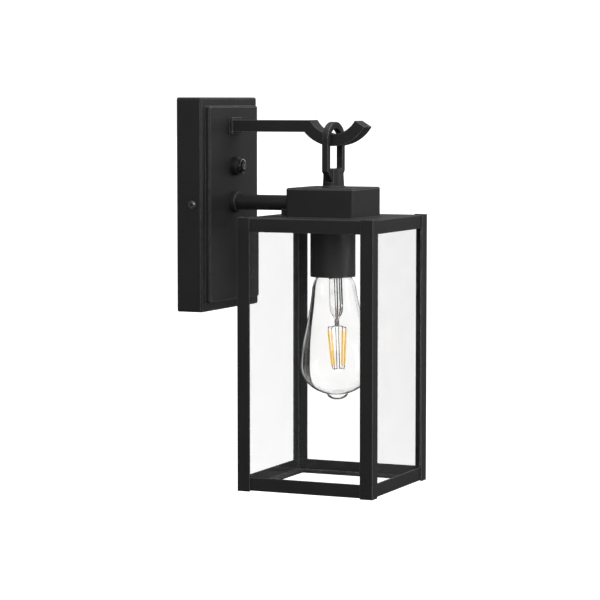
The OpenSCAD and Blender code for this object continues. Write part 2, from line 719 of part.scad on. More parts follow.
module bulb_glass() color(clear_glass) at_glass() rotate_extrude() polygon(concat(
    glass_line, [for (i = [len(glass_line) - 1:-1:0]) inward(glass_line[i])]));

// Glass stem: a flared tube with a pinched end, which the lead wires pass through.
function stem_line(inset) = [[stem_flange_r - inset, stem_start + inset], [stem_r - inset, stem_start + 7],
    [stem_r - inset, stem_end - pinch_len - 3], [stem_r * 0.72 - inset, stem_end - pinch_len + 0.5 - inset]];
module bulb_stem() color(clear_glass) at_glass() difference() {
    rotate_extrude() polygon(concat([[0, stem_start]], [[stem_flange_r, stem_start]], stem_line(0),
        [[stem_r * 0.42, stem_end], [0, stem_end]]));
    rotate_extrude() polygon(concat([[0, stem_start - 1], [stem_flange_r - stem_wall, stem_start - 1]],
        stem_line(stem_wall), [[0, stem_end - pinch_len]]));
    for (x = [-wire_x, wire_x]) rod([x, 0, stem_start], [x, 0, stem_end + 1], wire_r);
}

function fil_end(a, r, d) = [r * sin(a), -r * cos(a), d];
module filament(a) color(amber) at_glass()
    rod(fil_end(a, fil_top_r, fil_top), fil_end(a, fil_foot_r, fil_foot), fil_r);
module filament_front() filament(fil_turn);
module filament_right() filament(fil_turn + 90);
module filament_back() filament(fil_turn + 180);
module filament_left() filament(fil_turn + 270);
// Two lead wires through the stem, a clamp under its pinch, two posts, and the arms and feet that
// hold the filaments.
module filament_wires() color(zinc) at_glass() {
    hub = stem_end + clamp_len;
    foot = fil_foot + 2.2;
    for (x = [-wire_x, wire_x]) rod([x, 0, stem_start - 2], [x, 0, stem_end + 1], wire_r);
    translate([0, 0, stem_end]) cylinder(r = clamp_r, h = clamp_len, $fn = 24);
    for (side = [0, 180]) {
        at_post = fil_end(post_turn + side, post_x, hub - 1);
        to_foot = fil_end(post_turn + side, post_x, foot);
        rod(fil_end(post_turn + side, post_x, hub - 3), fil_end(post_turn + side, post_x, foot + 1), wire_r);
        for (a = [-45, 45]) {
            rod(at_post, fil_end(post_turn + side + a, fil_top_r, fil_top - 0.3), wire_r * 0.8);
            rod(to_foot, fil_end(post_turn + side + a, fil_foot_r, fil_foot + 0.3), wire_r * 0.8);
        }
    }
}

// Leads: each is swept along a smooth line through its points. The live and neutral leads run side by
// side under the earth lead in the tube, then turn down through the nipple to the lampholder's terminals.
function lead_route(s) = [[s * connector_x, -supply_y, connector_z],
    [s * (connector_x - 1), -supply_y, connector_z + 9],
    [s * 5.5, -supply_y - 1, tube_z - 12], [s * (lead_x + 0.6), -tube_start + 1, pair_z - 2],
    [s * lead_x, -tube_start - 4, pair_z], [s * lead_x, -panel_y - 12, pair_z], [s * lead_x, -mid_y, pair_z],
    [s * lead_x, -bend_y, pair_z],
    [s * lead_x, -lantern_y + 3, nipple_top + 3.4], [s * lead_x, -lantern_y, nipple_top - 2],
    [s * lead_x, -lantern_y, (nipple_top + nipple_bottom) / 2], [s * lead_x, -lantern_y, nipple_bottom]];
live_route = concat(lead_route(-1), [[-lead_x, -lantern_y, lead_end_z]]);
neutral_route = concat(lead_route(1),
    [[rivet_x - 2, -lantern_y, lead_end_z + 2], [rivet_x - 1.6, -lantern_y, lead_end_z]]);
earth_route = [[earth_x - 4.9, -bracket_t - 1.2, earth_z], [earth_x - 9, -bracket_t - 4, earth_z + 2],
    [6, -supply_y, tube_z + 7], [0, -tube_start + 1, earth_run_z + 1.5], [0, -tube_start - 4, earth_run_z],
    [0, -panel_y - 12, earth_run_z], [0, -mid_y, earth_run_z], [0, -tube_end, earth_run_z],
    [2.5, -tube_end - 4, earth_run_z - 0.5], [roof_earth / 2, -tube_end - 6.5, tube_z - 1.5],
    [roof_earth - 7, roof_earth - lantern_y - 0.6, tube_z - 5.5],
    [roof_earth - 4.6, roof_earth - lantern_y - 0.2, roof_top + 2.4]];
function spline(a, b, c, d, t) = 0.5 * ((2 * b) + (c - a) * t + (2 * a - 5 * b + 4 * c - d) * t * t
    + (3 * b - a - 3 * c + d) * t * t * t);
function smooth(p, n) = let (m = len(p) - 1) concat([for (i = [0:m - 1], k = [0:n - 1])
    spline(p[max(i - 1, 0)], p[i], p[i + 1], p[min(i + 2, m)], k / n)], [p[m]]);
function heading(p, i) = let (v = p[min(i + 1, len(p) - 1)] - p[max(i - 1, 0)]) v / norm(v);
function ring(c, v, r) = let (u = cross(v, [1, 0.05, 0]), n = u / norm(u), b = cross(v, n))
    [for (k = [0:lead_sides - 1]) let (a = 360 * k / lead_sides) c + r * (cos(a) * n + sin(a) * b)];
module sweep(route) {
    p = smooth(route, 4);
    m = len(p) - 1;
    s = lead_sides;
    polyhedron(points = [for (i = [0:m]) each ring(p[i], heading(p, i), lead_r)],
        faces = concat([[for (k = [0:s - 1]) k]], [[for (k = [s - 1:-1:0]) m * s + k]],
            [for (i = [0:m - 1], k = [0:s - 1]) let (a = i * s + k, b = i * s + (k + 1) % s)
                each [[a, a + s, b], [b, a + s, b + s]]]));
}
module live_lead() color("black") sweep(live_route);
module neutral_lead() color("white") sweep(neutral_route);
module earth_lead() color("green") sweep(earth_route);
module connector(s) color([0.75, 0.35, 0.12])
    translate([s * connector_x, -supply_y, connector_z - connector_len])
    difference() {
        rotate_extrude() polygon([[0, 0], [connector_tip_r, 0], [connector_r - edge, connector_len * 0.75],
            [connector_r, connector_len], [0, connector_len]]);
        translate([0, 0, nut_t]) cylinder(r = connector_bore, h = connector_len);
    }
module live_connector() connector(-1);
module neutral_connector() connector(1);
module earth_screws() color([0.2, 0.55, 0.25]) {
    translate([earth_x, 0, earth_z]) from_wall(bracket_t)
        cross_screw(earth_r, bracket_t, earth_head_r, head_t);
    at_lantern(roof_top) translate([roof_earth, roof_earth, 0])
        cross_screw(earth_r, roof_t + 1.5, earth_head_r, head_t);
}

back_plate();
wall_seal(0);  // wall_seal_upper
wall_seal(1);  // wall_seal_lower
mounting_bracket();
side_screws();
photocell_housing();
photocell_dome();
photocell_sensor();
photocell_nut();
upper_arm();
arm_collar();
arm_screw();
tube_arm();
tube_flange();
tube_nut_plate();
tube_nut_box();
tube_saddle();
box_cap();
box_screws();
hanging_link();
link_boss();
boss_screw();
roof_pan();
post_front_left();
post_front_right();
post_wall_left();
post_wall_right();
bottom_frame();
glass_front();
glass_wall_side();
glass_left();
glass_right();
glass_clips();
socket_cup();
threaded_nipple();
nipple_nut();
lampholder_body();
screw_shell();
centre_contact();
shell_rivet();
bulb_glass();
bulb_base();
base_cement();
base_insulator();
contact_tip();
bulb_stem();
filament_front();
filament_right();
filament_back();
filament_left();
filament_wires();
live_lead();
neutral_lead();
earth_lead();
live_connector();
neutral_connector();
earth_screws();
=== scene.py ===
"""Outdoor wall lantern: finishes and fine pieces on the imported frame, and a studio to show it in."""
import math
import bmesh
import bpy
from mathutils import Matrix, Vector


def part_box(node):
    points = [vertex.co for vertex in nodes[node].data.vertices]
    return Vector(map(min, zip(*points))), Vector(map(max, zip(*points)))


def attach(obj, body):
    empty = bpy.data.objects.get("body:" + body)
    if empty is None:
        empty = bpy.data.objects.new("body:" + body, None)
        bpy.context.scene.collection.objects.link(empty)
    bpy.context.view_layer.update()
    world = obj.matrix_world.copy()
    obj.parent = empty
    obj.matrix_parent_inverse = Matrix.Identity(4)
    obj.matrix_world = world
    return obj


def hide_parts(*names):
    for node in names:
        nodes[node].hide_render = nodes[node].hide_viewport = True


bl_info = {
    "name": "Outdoor wall lantern",
    "version": (1, 0, 0),
    "blender": (4, 5, 0),
    "location": "3D Viewport > Sidebar > Lantern",
    "description": "Finishes, threads, filaments, seals and studio for a square wall lantern",
    "category": "Object",
}

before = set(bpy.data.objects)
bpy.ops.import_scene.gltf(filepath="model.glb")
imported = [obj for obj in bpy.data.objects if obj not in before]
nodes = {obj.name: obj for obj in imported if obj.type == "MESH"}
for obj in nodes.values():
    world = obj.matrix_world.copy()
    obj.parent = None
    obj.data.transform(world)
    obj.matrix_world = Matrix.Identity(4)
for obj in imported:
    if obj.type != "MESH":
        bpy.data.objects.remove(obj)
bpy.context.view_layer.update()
MM = 0.001


# Sizes from the frame, in metres.

def span(node):
    """Lowest corner, highest corner and middle of a CAD node."""
    low, high = (Vector(corner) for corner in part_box(node))
    return low, high, (low + high) / 2


BULB_TOP = span("contact_tip")[1].z
LANTERN_X, LANTERN_Y = span("socket_cup")[2].xy
LEAN_DEPTH = 9 * MM
LEAN_SIDE = math.radians(24)


# Helpers for meshes.

def smooth_line(points, parts):
    """Points on a smooth curve through the given ones."""
    points = [Vector(p) for p in points]
    last = len(points) - 1
    line = []
    for i in range(last):
        a, b, c, d = points[max(i - 1, 0)], points[i], points[i + 1], points[min(i + 2, last)]
        for k in range(parts):
            t = k / parts
            line.append(0.5 * (2 * b + (c - a) * t + (2 * a - 5 * b + 4 * c - d) * t ** 2
                               + (3 * b - a - 3 * c + d) * t ** 3))
    return line + [points[last]]


def new_piece(name, bm, body, materials, node, where=None):
    """Turns a finished bmesh into a smooth-shaded object that rides on a body and replaces a CAD node."""
    if where is not None:
        bm.transform(where)
    bmesh.ops.recalc_face_normals(bm, faces=bm.faces)
    for face in bm.faces:
        face.smooth = True
    mesh = bpy.data.meshes.new(name)
    bm.to_mesh(mesh)
    bm.free()
    piece = bpy.data.objects.new(name, mesh)
    bpy.context.scene.collection.objects.link(piece)
    for material in materials:
        mesh.materials.append(material)
    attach(piece, body)
    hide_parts(node)
    return piece


def loft(bm, rings, slot=0, closed=False):
    """Skins a row of rings that have the same number of points. Closed joins the last ring to the first;
    otherwise both ends are capped."""
    loops = [[bm.verts.new(p) for p in ring] for ring in rings]
    pairs = list(zip(loops, loops[1:])) + ([(loops[-1], loops[0])] if closed else [])
    for low, high in pairs:
        for i in range(len(low)):
            j = (i + 1) % len(low)
            bm.faces.new((low[i], low[j], high[j], high[i])).material_index = slot
    if not closed:
        for loop in (loops[0], loops[-1]):
            bm.faces.new(loop).material_index = slot


def turned(bm, profile, segments, closed=False):
    """Turns a profile about the Z axis. Each point is a depth below the top and a radius, which may be a
    function of the angle."""
    rings = []
    for depth, radius in profile:
        ring = []
        for k in range(segments):
            angle = 2 * math.pi * k / segments
            r = radius(angle) if callable(radius) else radius
            ring.append((r * math.cos(angle), r * math.sin(angle), -depth))
        rings.append(ring)
    loft(bm, rings, closed=closed)


def swept(bm, points, radius, sides, slot=0):
    """Sweeps a round wire along points without twisting it. The radius is a number or one per point."""
    points = [Vector(p) for p in points]
    radii = radius if isinstance(radius, list) else [radius] * len(points)
    last = len(points) - 1
    rings = []
    across = None
    for i, p in enumerate(points):
        along = (points[min(i + 1, last)] - points[max(i - 1, 0)]).normalized()
        if across is None:
            across = along.orthogonal().normalized()
        across = (across - along * across.dot(along)).normalized()
        other = along.cross(across)
        rings.append([p + radii[i] * (math.cos(a) * across + math.sin(a) * other)
                      for a in (2 * math.pi * k / sides for k in range(sides))])
    loft(bm, rings, slot)


def ball(bm, centre, radius):
    """A small blob, for a weld or a bead."""
    bmesh.ops.create_uvsphere(bm, u_segments=14, v_segments=8, radius=radius,
                              matrix=Matrix.Translation(centre))


def at_bulb():
    """Places depths below the bulb's contact tip on the lantern's axis."""
    return Matrix.Translation((LANTERN_X, LANTERN_Y, BULB_TOP))


def at_glass(lean):
    """Like at_bulb, but leaning about a point in the bulb's neck."""
    pivot = Matrix.Translation((LANTERN_X, LANTERN_Y, BULB_TOP - LEAN_DEPTH))
    turn = Matrix.Rotation(lean, 4, Vector((-math.cos(LEAN_SIDE), -math.sin(LEAN_SIDE), 0)))
    return pivot @ turn @ Matrix.Translation((0, 0, LEAN_DEPTH))


def faces_out(x, y, z):
    """Stands a turned piece on a point, square to the wall."""
    return Matrix.Translation((x, y, z)) @ Matrix.Rotation(math.radians(-90), 4, "X")


# Helpers for materials.

def linear(code):
    """Linear colour of an sRGB hex code."""
    parts = [int(code[i:i + 2], 16) / 255 for i in (1, 3, 5)]
    return tuple(p / 12.92 if p <= 0.04045 else ((p + 0.055) / 1.055) ** 2.4 for p in parts) + (1.0,)


def add(tree, kind, inputs=None, **settings):
    """Adds a node. An input is a constant, or a (node, output) pair to link from."""
    node = tree.nodes.new(kind)
    for name, value in settings.items():
        setattr(node, name, value)
    for key, value in (inputs or {}).items():
        if isinstance(value, tuple) and isinstance(value[0], bpy.types.Node):
            tree.links.new(value[0].outputs[value[1]], node.inputs[key])
        else:
            node.inputs[key].default_value = value
    return node


def start(name, **constants):
    """A new material with a principled shader, its output and object coordinates."""
    material = bpy.data.materials.new(name)
    material.use_nodes = True
    tree = material.node_tree
    tree.nodes.clear()
    shader = add(tree, "ShaderNodeBsdfPrincipled",
                 {key.replace("_", " "): value for key, value in constants.items()})
    output = add(tree, "ShaderNodeOutputMaterial", {"Surface": (shader, "BSDF")})
    place = add(tree, "ShaderNodeTexCoord")
    return material, tree, shader, place, output


def noise(tree, place, size, detail=3.0, roughness=0.5, stretch=None):
    """Noise whose features are about size across, in metres. Stretch squeezes it along an axis."""
    vector = (place, "Object")
    if stretch:
        vector = (add(tree, "ShaderNodeMapping", {"Vector": vector, "Scale": stretch}), "Vector")
    return add(tree, "ShaderNodeTexNoise",
               {"Vector": vector, "Scale": 1 / size, "Detail": detail, "Roughness": roughness})


def spread(tree, source, low, high, to_low, to_high):
    """Maps part of a pattern's range on to another range."""
    return add(tree, "ShaderNodeMapRange", {"Value": source, "From Min": low, "From Max": high,
                                            "To Min": to_low, "To Max": to_high})


def maths(tree, operation, *values):
    """A maths node on constants or linked outputs."""
    return add(tree, "ShaderNodeMath", dict(enumerate(values)), operation=operation)


def blend(tree, factor, first, second):
    """Mixes two colours."""
    return add(tree, "ShaderNodeMix", {0: factor, 6: first, 7: second}, data_type="RGBA")


def edges(tree, radius):
    """1 on outer and inner edges, 0 on flats: a mask for wear, for ground edges and for painted edge
    highlights.
    """
    rounded = add(tree, "ShaderNodeBevel", {"Radius": radius}, samples=4)
    facing = add(tree, "ShaderNodeNewGeometry")
    same = add(tree, "ShaderNodeVectorMath", {0: (rounded, "Normal"), 1: (facing, "Normal")},
               operation="DOT_PRODUCT")
    return spread(tree, (same, "Value"), 0.995, 0.86, 0.0, 1.0)


def bumps(tree, shader, *layers):
    """Stacks bump layers: each is a height output and a distance in metres."""
    normal = None
    for height, distance in layers:
        inputs = {"Height": height, "Strength": 1.0, "Distance": distance}
        if normal is not None:
            inputs["Normal"] = (normal, "Normal")
        normal = add(tree, "ShaderNodeBump", inputs)
    tree.links.new(normal.outputs["Normal"], shader.inputs["Normal"])


def link(tree, source, shader, socket):
    """Feeds a shader socket from a node's output."""
    tree.links.new(source[0].outputs[source[1]], shader.inputs[socket])


def roughen(tree, shader, pattern, low, high, to_low, to_high):
    """Sets the roughness from part of a pattern's range."""
    rough = spread(tree, (pattern, "Fac"), low, high, to_low, to_high)
    link(tree, (rough, "Result"), shader, "Roughness")


def scaled(colour, factor, lift=0.0):
    """A colour made brighter or darker."""
    return tuple(min(1.0, factor * c + lift) for c in colour[:3]) + (1.0,)


# Materials.

def powder_coated_steel(finish):
    """Powder-coated sheet steel, sprayed and baked: a matt black with a fine raised grain over a soft
    orange peel. Edges are smoother and paler: a thinner coat there, and a painted highlight."""
    material, tree, shader, place, _ = start("powder_coated_steel", Specular_IOR_Level=0.42)
    # The coat's real grain is about 0.3 mm; 0.9 mm is as fine as shows.
    grain = noise(tree, place, 0.9 * MM, 2.0, 0.6)
    peel = noise(tree, place, 2.6 * MM, 2.0)
    cloud = noise(tree, place, 38 * MM, 4.0, 0.6)
    edge_band = edges(tree, 0.9 * MM)
    scuff = noise(tree, place, 5 * MM, 4.0, 0.7)
    patchy = spread(tree, (scuff, "Fac"), 0.3, 0.6, 0.45, 1.0)
    edge_wear_and_highlight_mask = maths(tree, "MULTIPLY", (edge_band, "Result"), (patchy, "Result"))
    base = tuple(finish.powder)
    pale = tuple(finish.edge_wear_and_highlight_colour)
    tone = blend(tree, (spread(tree, (cloud, "Fac"), 0.3, 0.7, 0.0, 1.0), "Result"),
                 scaled(base, 0.86), scaled(base, 1.16))
    speck = blend(tree, (spread(tree, (grain, "Fac"), 0.45, 0.72, 0.0, 0.55), "Result"), (tone, 2),
                  scaled(base, 2.0))
    # Paler along edges: partly the thinner coat's wear, partly a painted highlight.
    colour = blend(tree, (edge_wear_and_highlight_mask, "Value"), (speck, 2), pale)
    link(tree, (colour, 2), shader, "Base Color")
    rough = spread(tree, (cloud, "Fac"), 0.3, 0.7, finish.powder_gloss - 0.04, finish.powder_gloss + 0.05)
    smoother = maths(tree, "MULTIPLY_ADD", (edge_wear_and_highlight_mask, "Value"), -0.14, (rough, "Result"))
    link(tree, (smoother, "Value"), shader, "Roughness")
    bumps(tree, shader, ((peel, "Fac"), 0.05 * MM), ((grain, "Fac"), 0.055 * MM))
    return material


# Each metal's colour, the colour of its low spots, its roughness, and the stretch of its draw marks.
METALS = {
    # Barrel plated: a cool grey with a slight haze.
    "zinc_plated_steel": ("#C9CDD1", "#8E9399", 0.34, None),
    # Stamped from strip: rolling marks run along its length.
    "zinc_plated_strip": ("#BDC2C6", "#868C90", 0.38, (1.0, 0.08, 1.0)),
    # A dyed plating that stays slightly metallic.
    "green_chromated_steel": ("#3E8A4E", "#235C31", 0.36, None),
    # Lightly lacquered: warm yellow with browner low spots.
    "stamped_brass": ("#D8B25E", "#9C7634", 0.28, None),
    # Rolled on a mandrel: bright, slightly warm, with rolling marks round it.
    "nickel_plated_brass": ("#DAD6CC", "#A39E92", 0.2, (0.12, 0.12, 1.0)),
    # Soft grey with faint lengthwise marks.
    "drawn_nickel_wire": ("#8F8E8A", "#5E5D59", 0.34, (1.0, 1.0, 0.1)),
    # Sealing wire, which turns red-brown where the glass grips it.
    "copper_clad_wire": ("#A8674C", "#6C3B2B", 0.4, (1.0, 1.0, 0.1)),
    # Printed on the sensor's face in a back-and-forth track.
    "printed_metal_film": ("#CFCBC2", "#8E8A80", 0.3, None),
}


def metal(name):
    """Plated or plain metal: bright, with fine draw marks, hazy patches and dirt in its low spots."""
    colour, dark, gloss, brushed = METALS[name]
    material, tree, shader, place, _ = start(name, Metallic=1.0)
    cloud = noise(tree, place, 7 * MM, 4.0, 0.65)
    # Draw marks are finer than shows, so they are drawn 0.5 mm apart.
    marks = noise(tree, place, 0.5 * MM, 2.0, 0.6, brushed)
    patch = spread(tree, (cloud, "Fac"), 0.35, 0.75, 0.0, 0.6)
    tone = blend(tree, (patch, "Result"), linear(colour), linear(dark))
    link(tree, (tone, 2), shader, "Base Color")
    roughen(tree, shader, cloud, 0.3, 0.75, gloss - 0.06, gloss + 0.14)
    bumps(tree, shader, ((marks, "Fac"), 0.01 * MM), ((cloud, "Fac"), 0.04 * MM))
    return material


def nickel_screw_painted_shade_and_rim():
    """Nickel-plated screw head: painted shade darkens its recess and a painted highlight brightens its rim.
    """
    material, tree, shader, place, _ = start("nickel_screw_painted_recess_shade", Metallic=1.0)
    # Painted shade: the recess is darkened by how closed in it is.
    painted_recess_shade = add(tree, "ShaderNodeAmbientOcclusion", {"Distance": 2.2 * MM}, samples=8, only_local=True)
    cloud = noise(tree, place, 2 * MM, 3.0, 0.6)
    open_face = spread(tree, (painted_recess_shade, "AO"), 0.55, 0.9, 0.0, 1.0)
    flat = blend(tree, (open_face, "Result"), linear("#161617"), linear("#6A6A6C"))
    # Painted highlight: the rim is made paler than the head.
    rim = edges(tree, 0.4 * MM)
    tone = blend(tree, (rim, "Result"), (flat, 2), linear("#C4C5C6"))
    link(tree, (tone, 2), shader, "Base Color")
    roughen(tree, shader, cloud, 0.3, 0.7, 0.26, 0.42)
    bumps(tree, shader, ((cloud, "Fac"), 0.03 * MM))
    return material


def soft_solder():
    """Tin solder, wiped hot: dull silver with a frosted, lumpy skin."""
    material, tree, shader, place, _ = start("soft_solder", Metallic=1.0)
    lumps = noise(tree, place, 1.4 * MM, 4.0, 0.6)
    tone = blend(tree, (lumps, "Fac"), linear("#D5D6D6"), linear("#A2A4A6"))
    link(tree, (tone, 2), shader, "Base Color")
    roughen(tree, shader, lumps, 0.3, 0.7, 0.28, 0.5)
    bumps(tree, shader, ((lumps, "Fac"), 0.16 * MM))
    return material


# Each clear material's tint, refraction, ripple depth and size in mm, dust colour, roughness of the dust
# and roughness of its edges. The bulb and its stem refract less than real glass does, so that their rims
# stay thin.
GLASSES = {
    # Cast flat on tin and cut: very long faint waves, a trace of dust and edges that are ground frosty.
    "float_glass": ("#FCFCFC", 1.5, 0.02, 90, "#F7F7F7", 0.015, 0.55),
    # Blown in a mould: soft ripples that bend what is behind them.
    "blown_soda_glass": ("#FDFDFD", 1.36, 0.05, 26, "#F9F8F6", 0.01, 0.0),
    # A lead glass tube, flared and pinched in a flame: rippled and brighter than the bulb.
    "flame_worked_glass": ("#FCFCFC", 1.2, 0.1, 7, "#F0F3F4", 0.03, 0.0),
    # Slightly smoky and glossy, with a faint flow ripple.
    "moulded_polycarbonate": ("#E3E6E6", 1.58, 0.05, 5, "#CFD4D5", 0.08, 0.0),
}


def clear_glass(name):
    """Clear glass that lets light through to what is behind it: faint ripples from how it was made, and
    a little dust that roughens it in patches."""
    tint, ior, ripple, ripple_size, dust, veil, frost = GLASSES[name]
    material, tree, shader, place, output = start(name, Transmission_Weight=1.0, IOR=ior,
                                                  Specular_IOR_Level=0.5)
    smear = noise(tree, place, 14 * MM, 5.0, 0.65)
    tone = blend(tree, (spread(tree, (smear, "Fac"), 0.4, 0.75, 0.0, 1.0), "Result"), linear(tint),
                 linear(dust))
    link(tree, (tone, 2), shader, "Base Color")
    rough = spread(tree, (smear, "Fac"), 0.66, 0.85, 0.0, veil)
    ground = spread(tree, (edges(tree, 0.9 * MM), "Result"), 0.0, 1.0, 0.0, frost)
    uneven = maths(tree, "MAXIMUM", (rough, "Result"), (ground, "Result"))
    link(tree, (uneven, "Value"), shader, "Roughness")
    waves = noise(tree, place, ripple_size * MM, 1.0)
    bumps(tree, shader, ((waves, "Fac"), ripple * MM))
    # Shadow rays pass straight through, so the glass lights what is inside it evenly.
    rays = add(tree, "ShaderNodeLightPath")
    through = add(tree, "ShaderNodeBsdfTransparent", {"Color": (0.93, 0.94, 0.94, 1.0)})
    mix = add(tree, "ShaderNodeMixShader", {0: (rays, "Is Shadow Ray"), 1: (shader, "BSDF"),
                                            2: (through, "BSDF")})
    link(tree, (mix, "Shader"), output, "Surface")
    return material


def fused_black_glass():
    """Black glass, fused into the bulb's base: glossy, with tiny pits."""
    material, tree, shader, place, _ = start("fused_black_glass", IOR=1.5)
    pits = noise(tree, place, 0.8 * MM, 3.0, 0.6)
    cloud = noise(tree, place, 4 * MM, 3.0)
    tone = blend(tree, (cloud, "Fac"), linear("#121214"), linear("#2A2A2F"))
    link(tree, (tone, 2), shader, "Base Color")
    roughen(tree, shader, cloud, 0.3, 0.7, 0.08, 0.2)
    bumps(tree, shader, ((pits, "Fac"), 0.03 * MM))
    return material


def phosphor_silicone_painted_glow(finish):
    """Phosphor-loaded silicone, moulded round a row of chips: warm yellow, softly translucent, darker
    between the chips, with a faint painted glow."""
    # The emission is a painted glow.
    material, tree, shader, place, _ = start("phosphor_silicone_painted_glow", Subsurface_Weight=0.15,
                                             Subsurface_Scale=0.8 * MM, Subsurface_Radius=(1.0, 0.6, 0.2),
                                             Emission_Strength=0.36, IOR=1.41,
                                             Emission_Color=tuple(finish.phosphor))
    # Chips sit about 1.1 mm apart along the strip.
    chips = add(tree, "ShaderNodeTexWave", {"Vector": (place, "Object"), "Scale": 1 / (20 * 1.1 * MM),
                                            "Distortion": 0.4, "Detail": 1.0},
                wave_type="BANDS", bands_direction="Z")
    lumps = noise(tree, place, 1.6 * MM, 3.0, 0.6)
    depth = spread(tree, (chips, "Fac"), 0.0, 1.0, 0.0, 0.35)
    tone = blend(tree, (depth, "Result"), tuple(finish.phosphor), linear("#F3B338"))
    mottled = blend(tree, (spread(tree, (lumps, "Fac"), 0.45, 0.8, 0.0, 0.4), "Result"), (tone, 2),
                    linear("#FFD878"))
    link(tree, (mottled, 2), shader, "Base Color")
    roughen(tree, shader, lumps, 0.3, 0.7, 0.4, 0.58)
    bumps(tree, shader, ((lumps, "Fac"), 0.06 * MM), ((chips, "Fac"), 0.05 * MM))
    return material


# Each dull material's two colours, roughness, grain size and depth, and cloud size, in mm.
PLASTICS = {
    # Phenolic resin, pressed hot: deep black-brown with a soft sheen and fine flow marks.
    "moulded_phenolic": ("#1D1A18", "#2B2724", 0.38, 1.2, 0.03, 9),
    # Satin black, with a faint spark-eroded grain.
    "moulded_nylon": ("#19191A", "#242425", 0.3, 0.8, 0.03, 9),
    # Glossy orange ribs, paler along their edges.
    "moulded_polypropylene": ("#D9611C", "#C24F12", 0.34, 1.5, 0.03, 9),
    # Baked in the joint of bulb and base: chalky cream with small pores.
    "basing_cement": ("#D8D0BC", "#B9AF98", 0.86, 0.9, 0.1, 3),
    # The light sensor's disc: chalky, dark brown and a little clouded.
    "sintered_ceramic": ("#2A2220", "#1A1513", 0.6, 0.8, 0.03, 2),
    # Extruded over stranded wire: smooth and satin, with the strands just telling.
    "black_pvc_insulation": ("#202021", "#2C2C2E", 0.4, 1.6, 0.05, 20),
    "white_pvc_insulation": ("#E4E3DE", "#D2D0C8", 0.4, 1.6, 0.05, 20),
    "green_pvc_insulation": ("#2F8446", "#256B38", 0.4, 1.6, 0.05, 20),
}


def dull(name):
    """Moulded, pressed or extruded material: one colour, slightly clouded, over a moulded grain."""
    first, other, gloss, grain, depth, patch = PLASTICS[name]
    colour, second = linear(first), linear(other)
    material, tree, shader, place, _ = start(name, IOR=1.5)
    cloud = noise(tree, place, patch * MM, 4.0, 0.6)
    texture = noise(tree, place, grain * MM, 2.0, 0.6)
    edge_band = edges(tree, 0.5 * MM)
    tone = blend(tree, (spread(tree, (cloud, "Fac"), 0.3, 0.75, 0.0, 1.0), "Result"), colour, second)
    # Paler along edges.
    paler_edges = blend(tree, (spread(tree, (edge_band, "Result"), 0.0, 1.0, 0.0, 0.3), "Result"), (tone, 2),
                   scaled(second, 1.5, 0.02))
    link(tree, (paler_edges, 2), shader, "Base Color")
    roughen(tree, shader, cloud, 0.3, 0.7, gloss - 0.06, gloss + 0.08)
    bumps(tree, shader, ((texture, "Fac"), depth * MM))
    return material


def closed_cell_foam():
    """Closed-cell neoprene foam, skived from sheet: matt charcoal, its open cells darkened by painted shade.
    """
    material, tree, shader, place, _ = start("closed_cell_foam", IOR=1.45, Sheen_Weight=0.25,
                                             Sheen_Roughness=0.5)
    # Cells are about 0.8 mm across, and are drawn coarser, 1.1 mm apart.
    cells = add(tree, "ShaderNodeTexVoronoi", {"Vector": (place, "Object"), "Scale": 1 / (1.1 * MM)})
    cloud = noise(tree, place, 12 * MM, 4.0, 0.6)
    # Painted shade: each cell is darker in its hollow.
    rim = spread(tree, (cells, "Distance"), 0.1, 0.6, 0.0, 1.0)
    tone = blend(tree, (rim, "Result"), linear("#1E1E1F"), linear("#3A3A3B"))
    aged = blend(tree, (spread(tree, (cloud, "Fac"), 0.45, 0.8, 0.0, 0.35), "Result"), (tone, 2),
                 linear("#4A4845"))
    link(tree, (aged, 2), shader, "Base Color")
    roughen(tree, shader, cloud, 0.3, 0.7, 0.86, 0.96)
    bumps(tree, shader, ((cloud, "Fac"), 0.25 * MM), ((cells, "Distance"), 0.18 * MM))
    return material


made = {}


def material_for(maker, *arguments):
    """Makes a material once and gives it back each time it is asked for."""
    key = (maker, *arguments)
    if key not in made:
        made[key] = maker(*arguments)
    return made[key]


def dress(names, material, edge, segments=3, angle=28):
    """Gives CAD nodes a material and broken edges, without touching their meshes."""
    for name in names:
        node = nodes[name]
        node.data.materials.clear()
        node.data.materials.append(material)
        weld = node.modifiers.new("weld", "WELD")
        weld.merge_threshold = 0.005 * MM
        if edge:
            bevel = node.modifiers.new("broken edges", "BEVEL")
            bevel.width = edge
            bevel.segments = segments
            bevel.limit_method = "ANGLE"
            bevel.angle_limit = math.radians(angle)
            bevel.use_clamp_overlap = True
            bevel.miter_outer = "MITER_ARC"
        normals = node.modifiers.new("even shading", "WEIGHTED_NORMAL")
        normals.keep_sharp = False
        normals.weight = 80


# Settings that a user would change.

def colour_setting(name, description, code):
    """A colour to pick."""
    return bpy.props.FloatVectorProperty(name=name, description=description, subtype="COLOR", size=4, min=0.0,
                                         max=1.0, default=linear(code))


def length_setting(name, description, default, low, high):
    """A small length, given in millimetres and kept in metres."""
    return bpy.props.FloatProperty(name=name, description=description, default=default * MM, min=low * MM,
                                   max=high * MM, precision=5, subtype="DISTANCE", unit="LENGTH")


class LanternFinish(bpy.types.PropertyGroup):
    """Colours and sheen of the finishes."""
    powder: colour_setting("Powder coat", "Colour of the coated steel", "#1E1E1F")
    # The edge colour is partly a painted highlight along the coat's edges.
    edge_wear_and_highlight_colour: colour_setting("Coat on edges", "Colour of the thin coat along edges", "#7C7C7E")
    powder_gloss: bpy.props.FloatProperty(
        name="Coat roughness", description="Roughness of the powder coat", default=0.5, min=0.1, max=1.0,
        subtype="FACTOR")
    # Also the colour of the filaments' painted glow.
    phosphor: colour_setting("Phosphor", "Colour of the filaments", "#FFCA46")


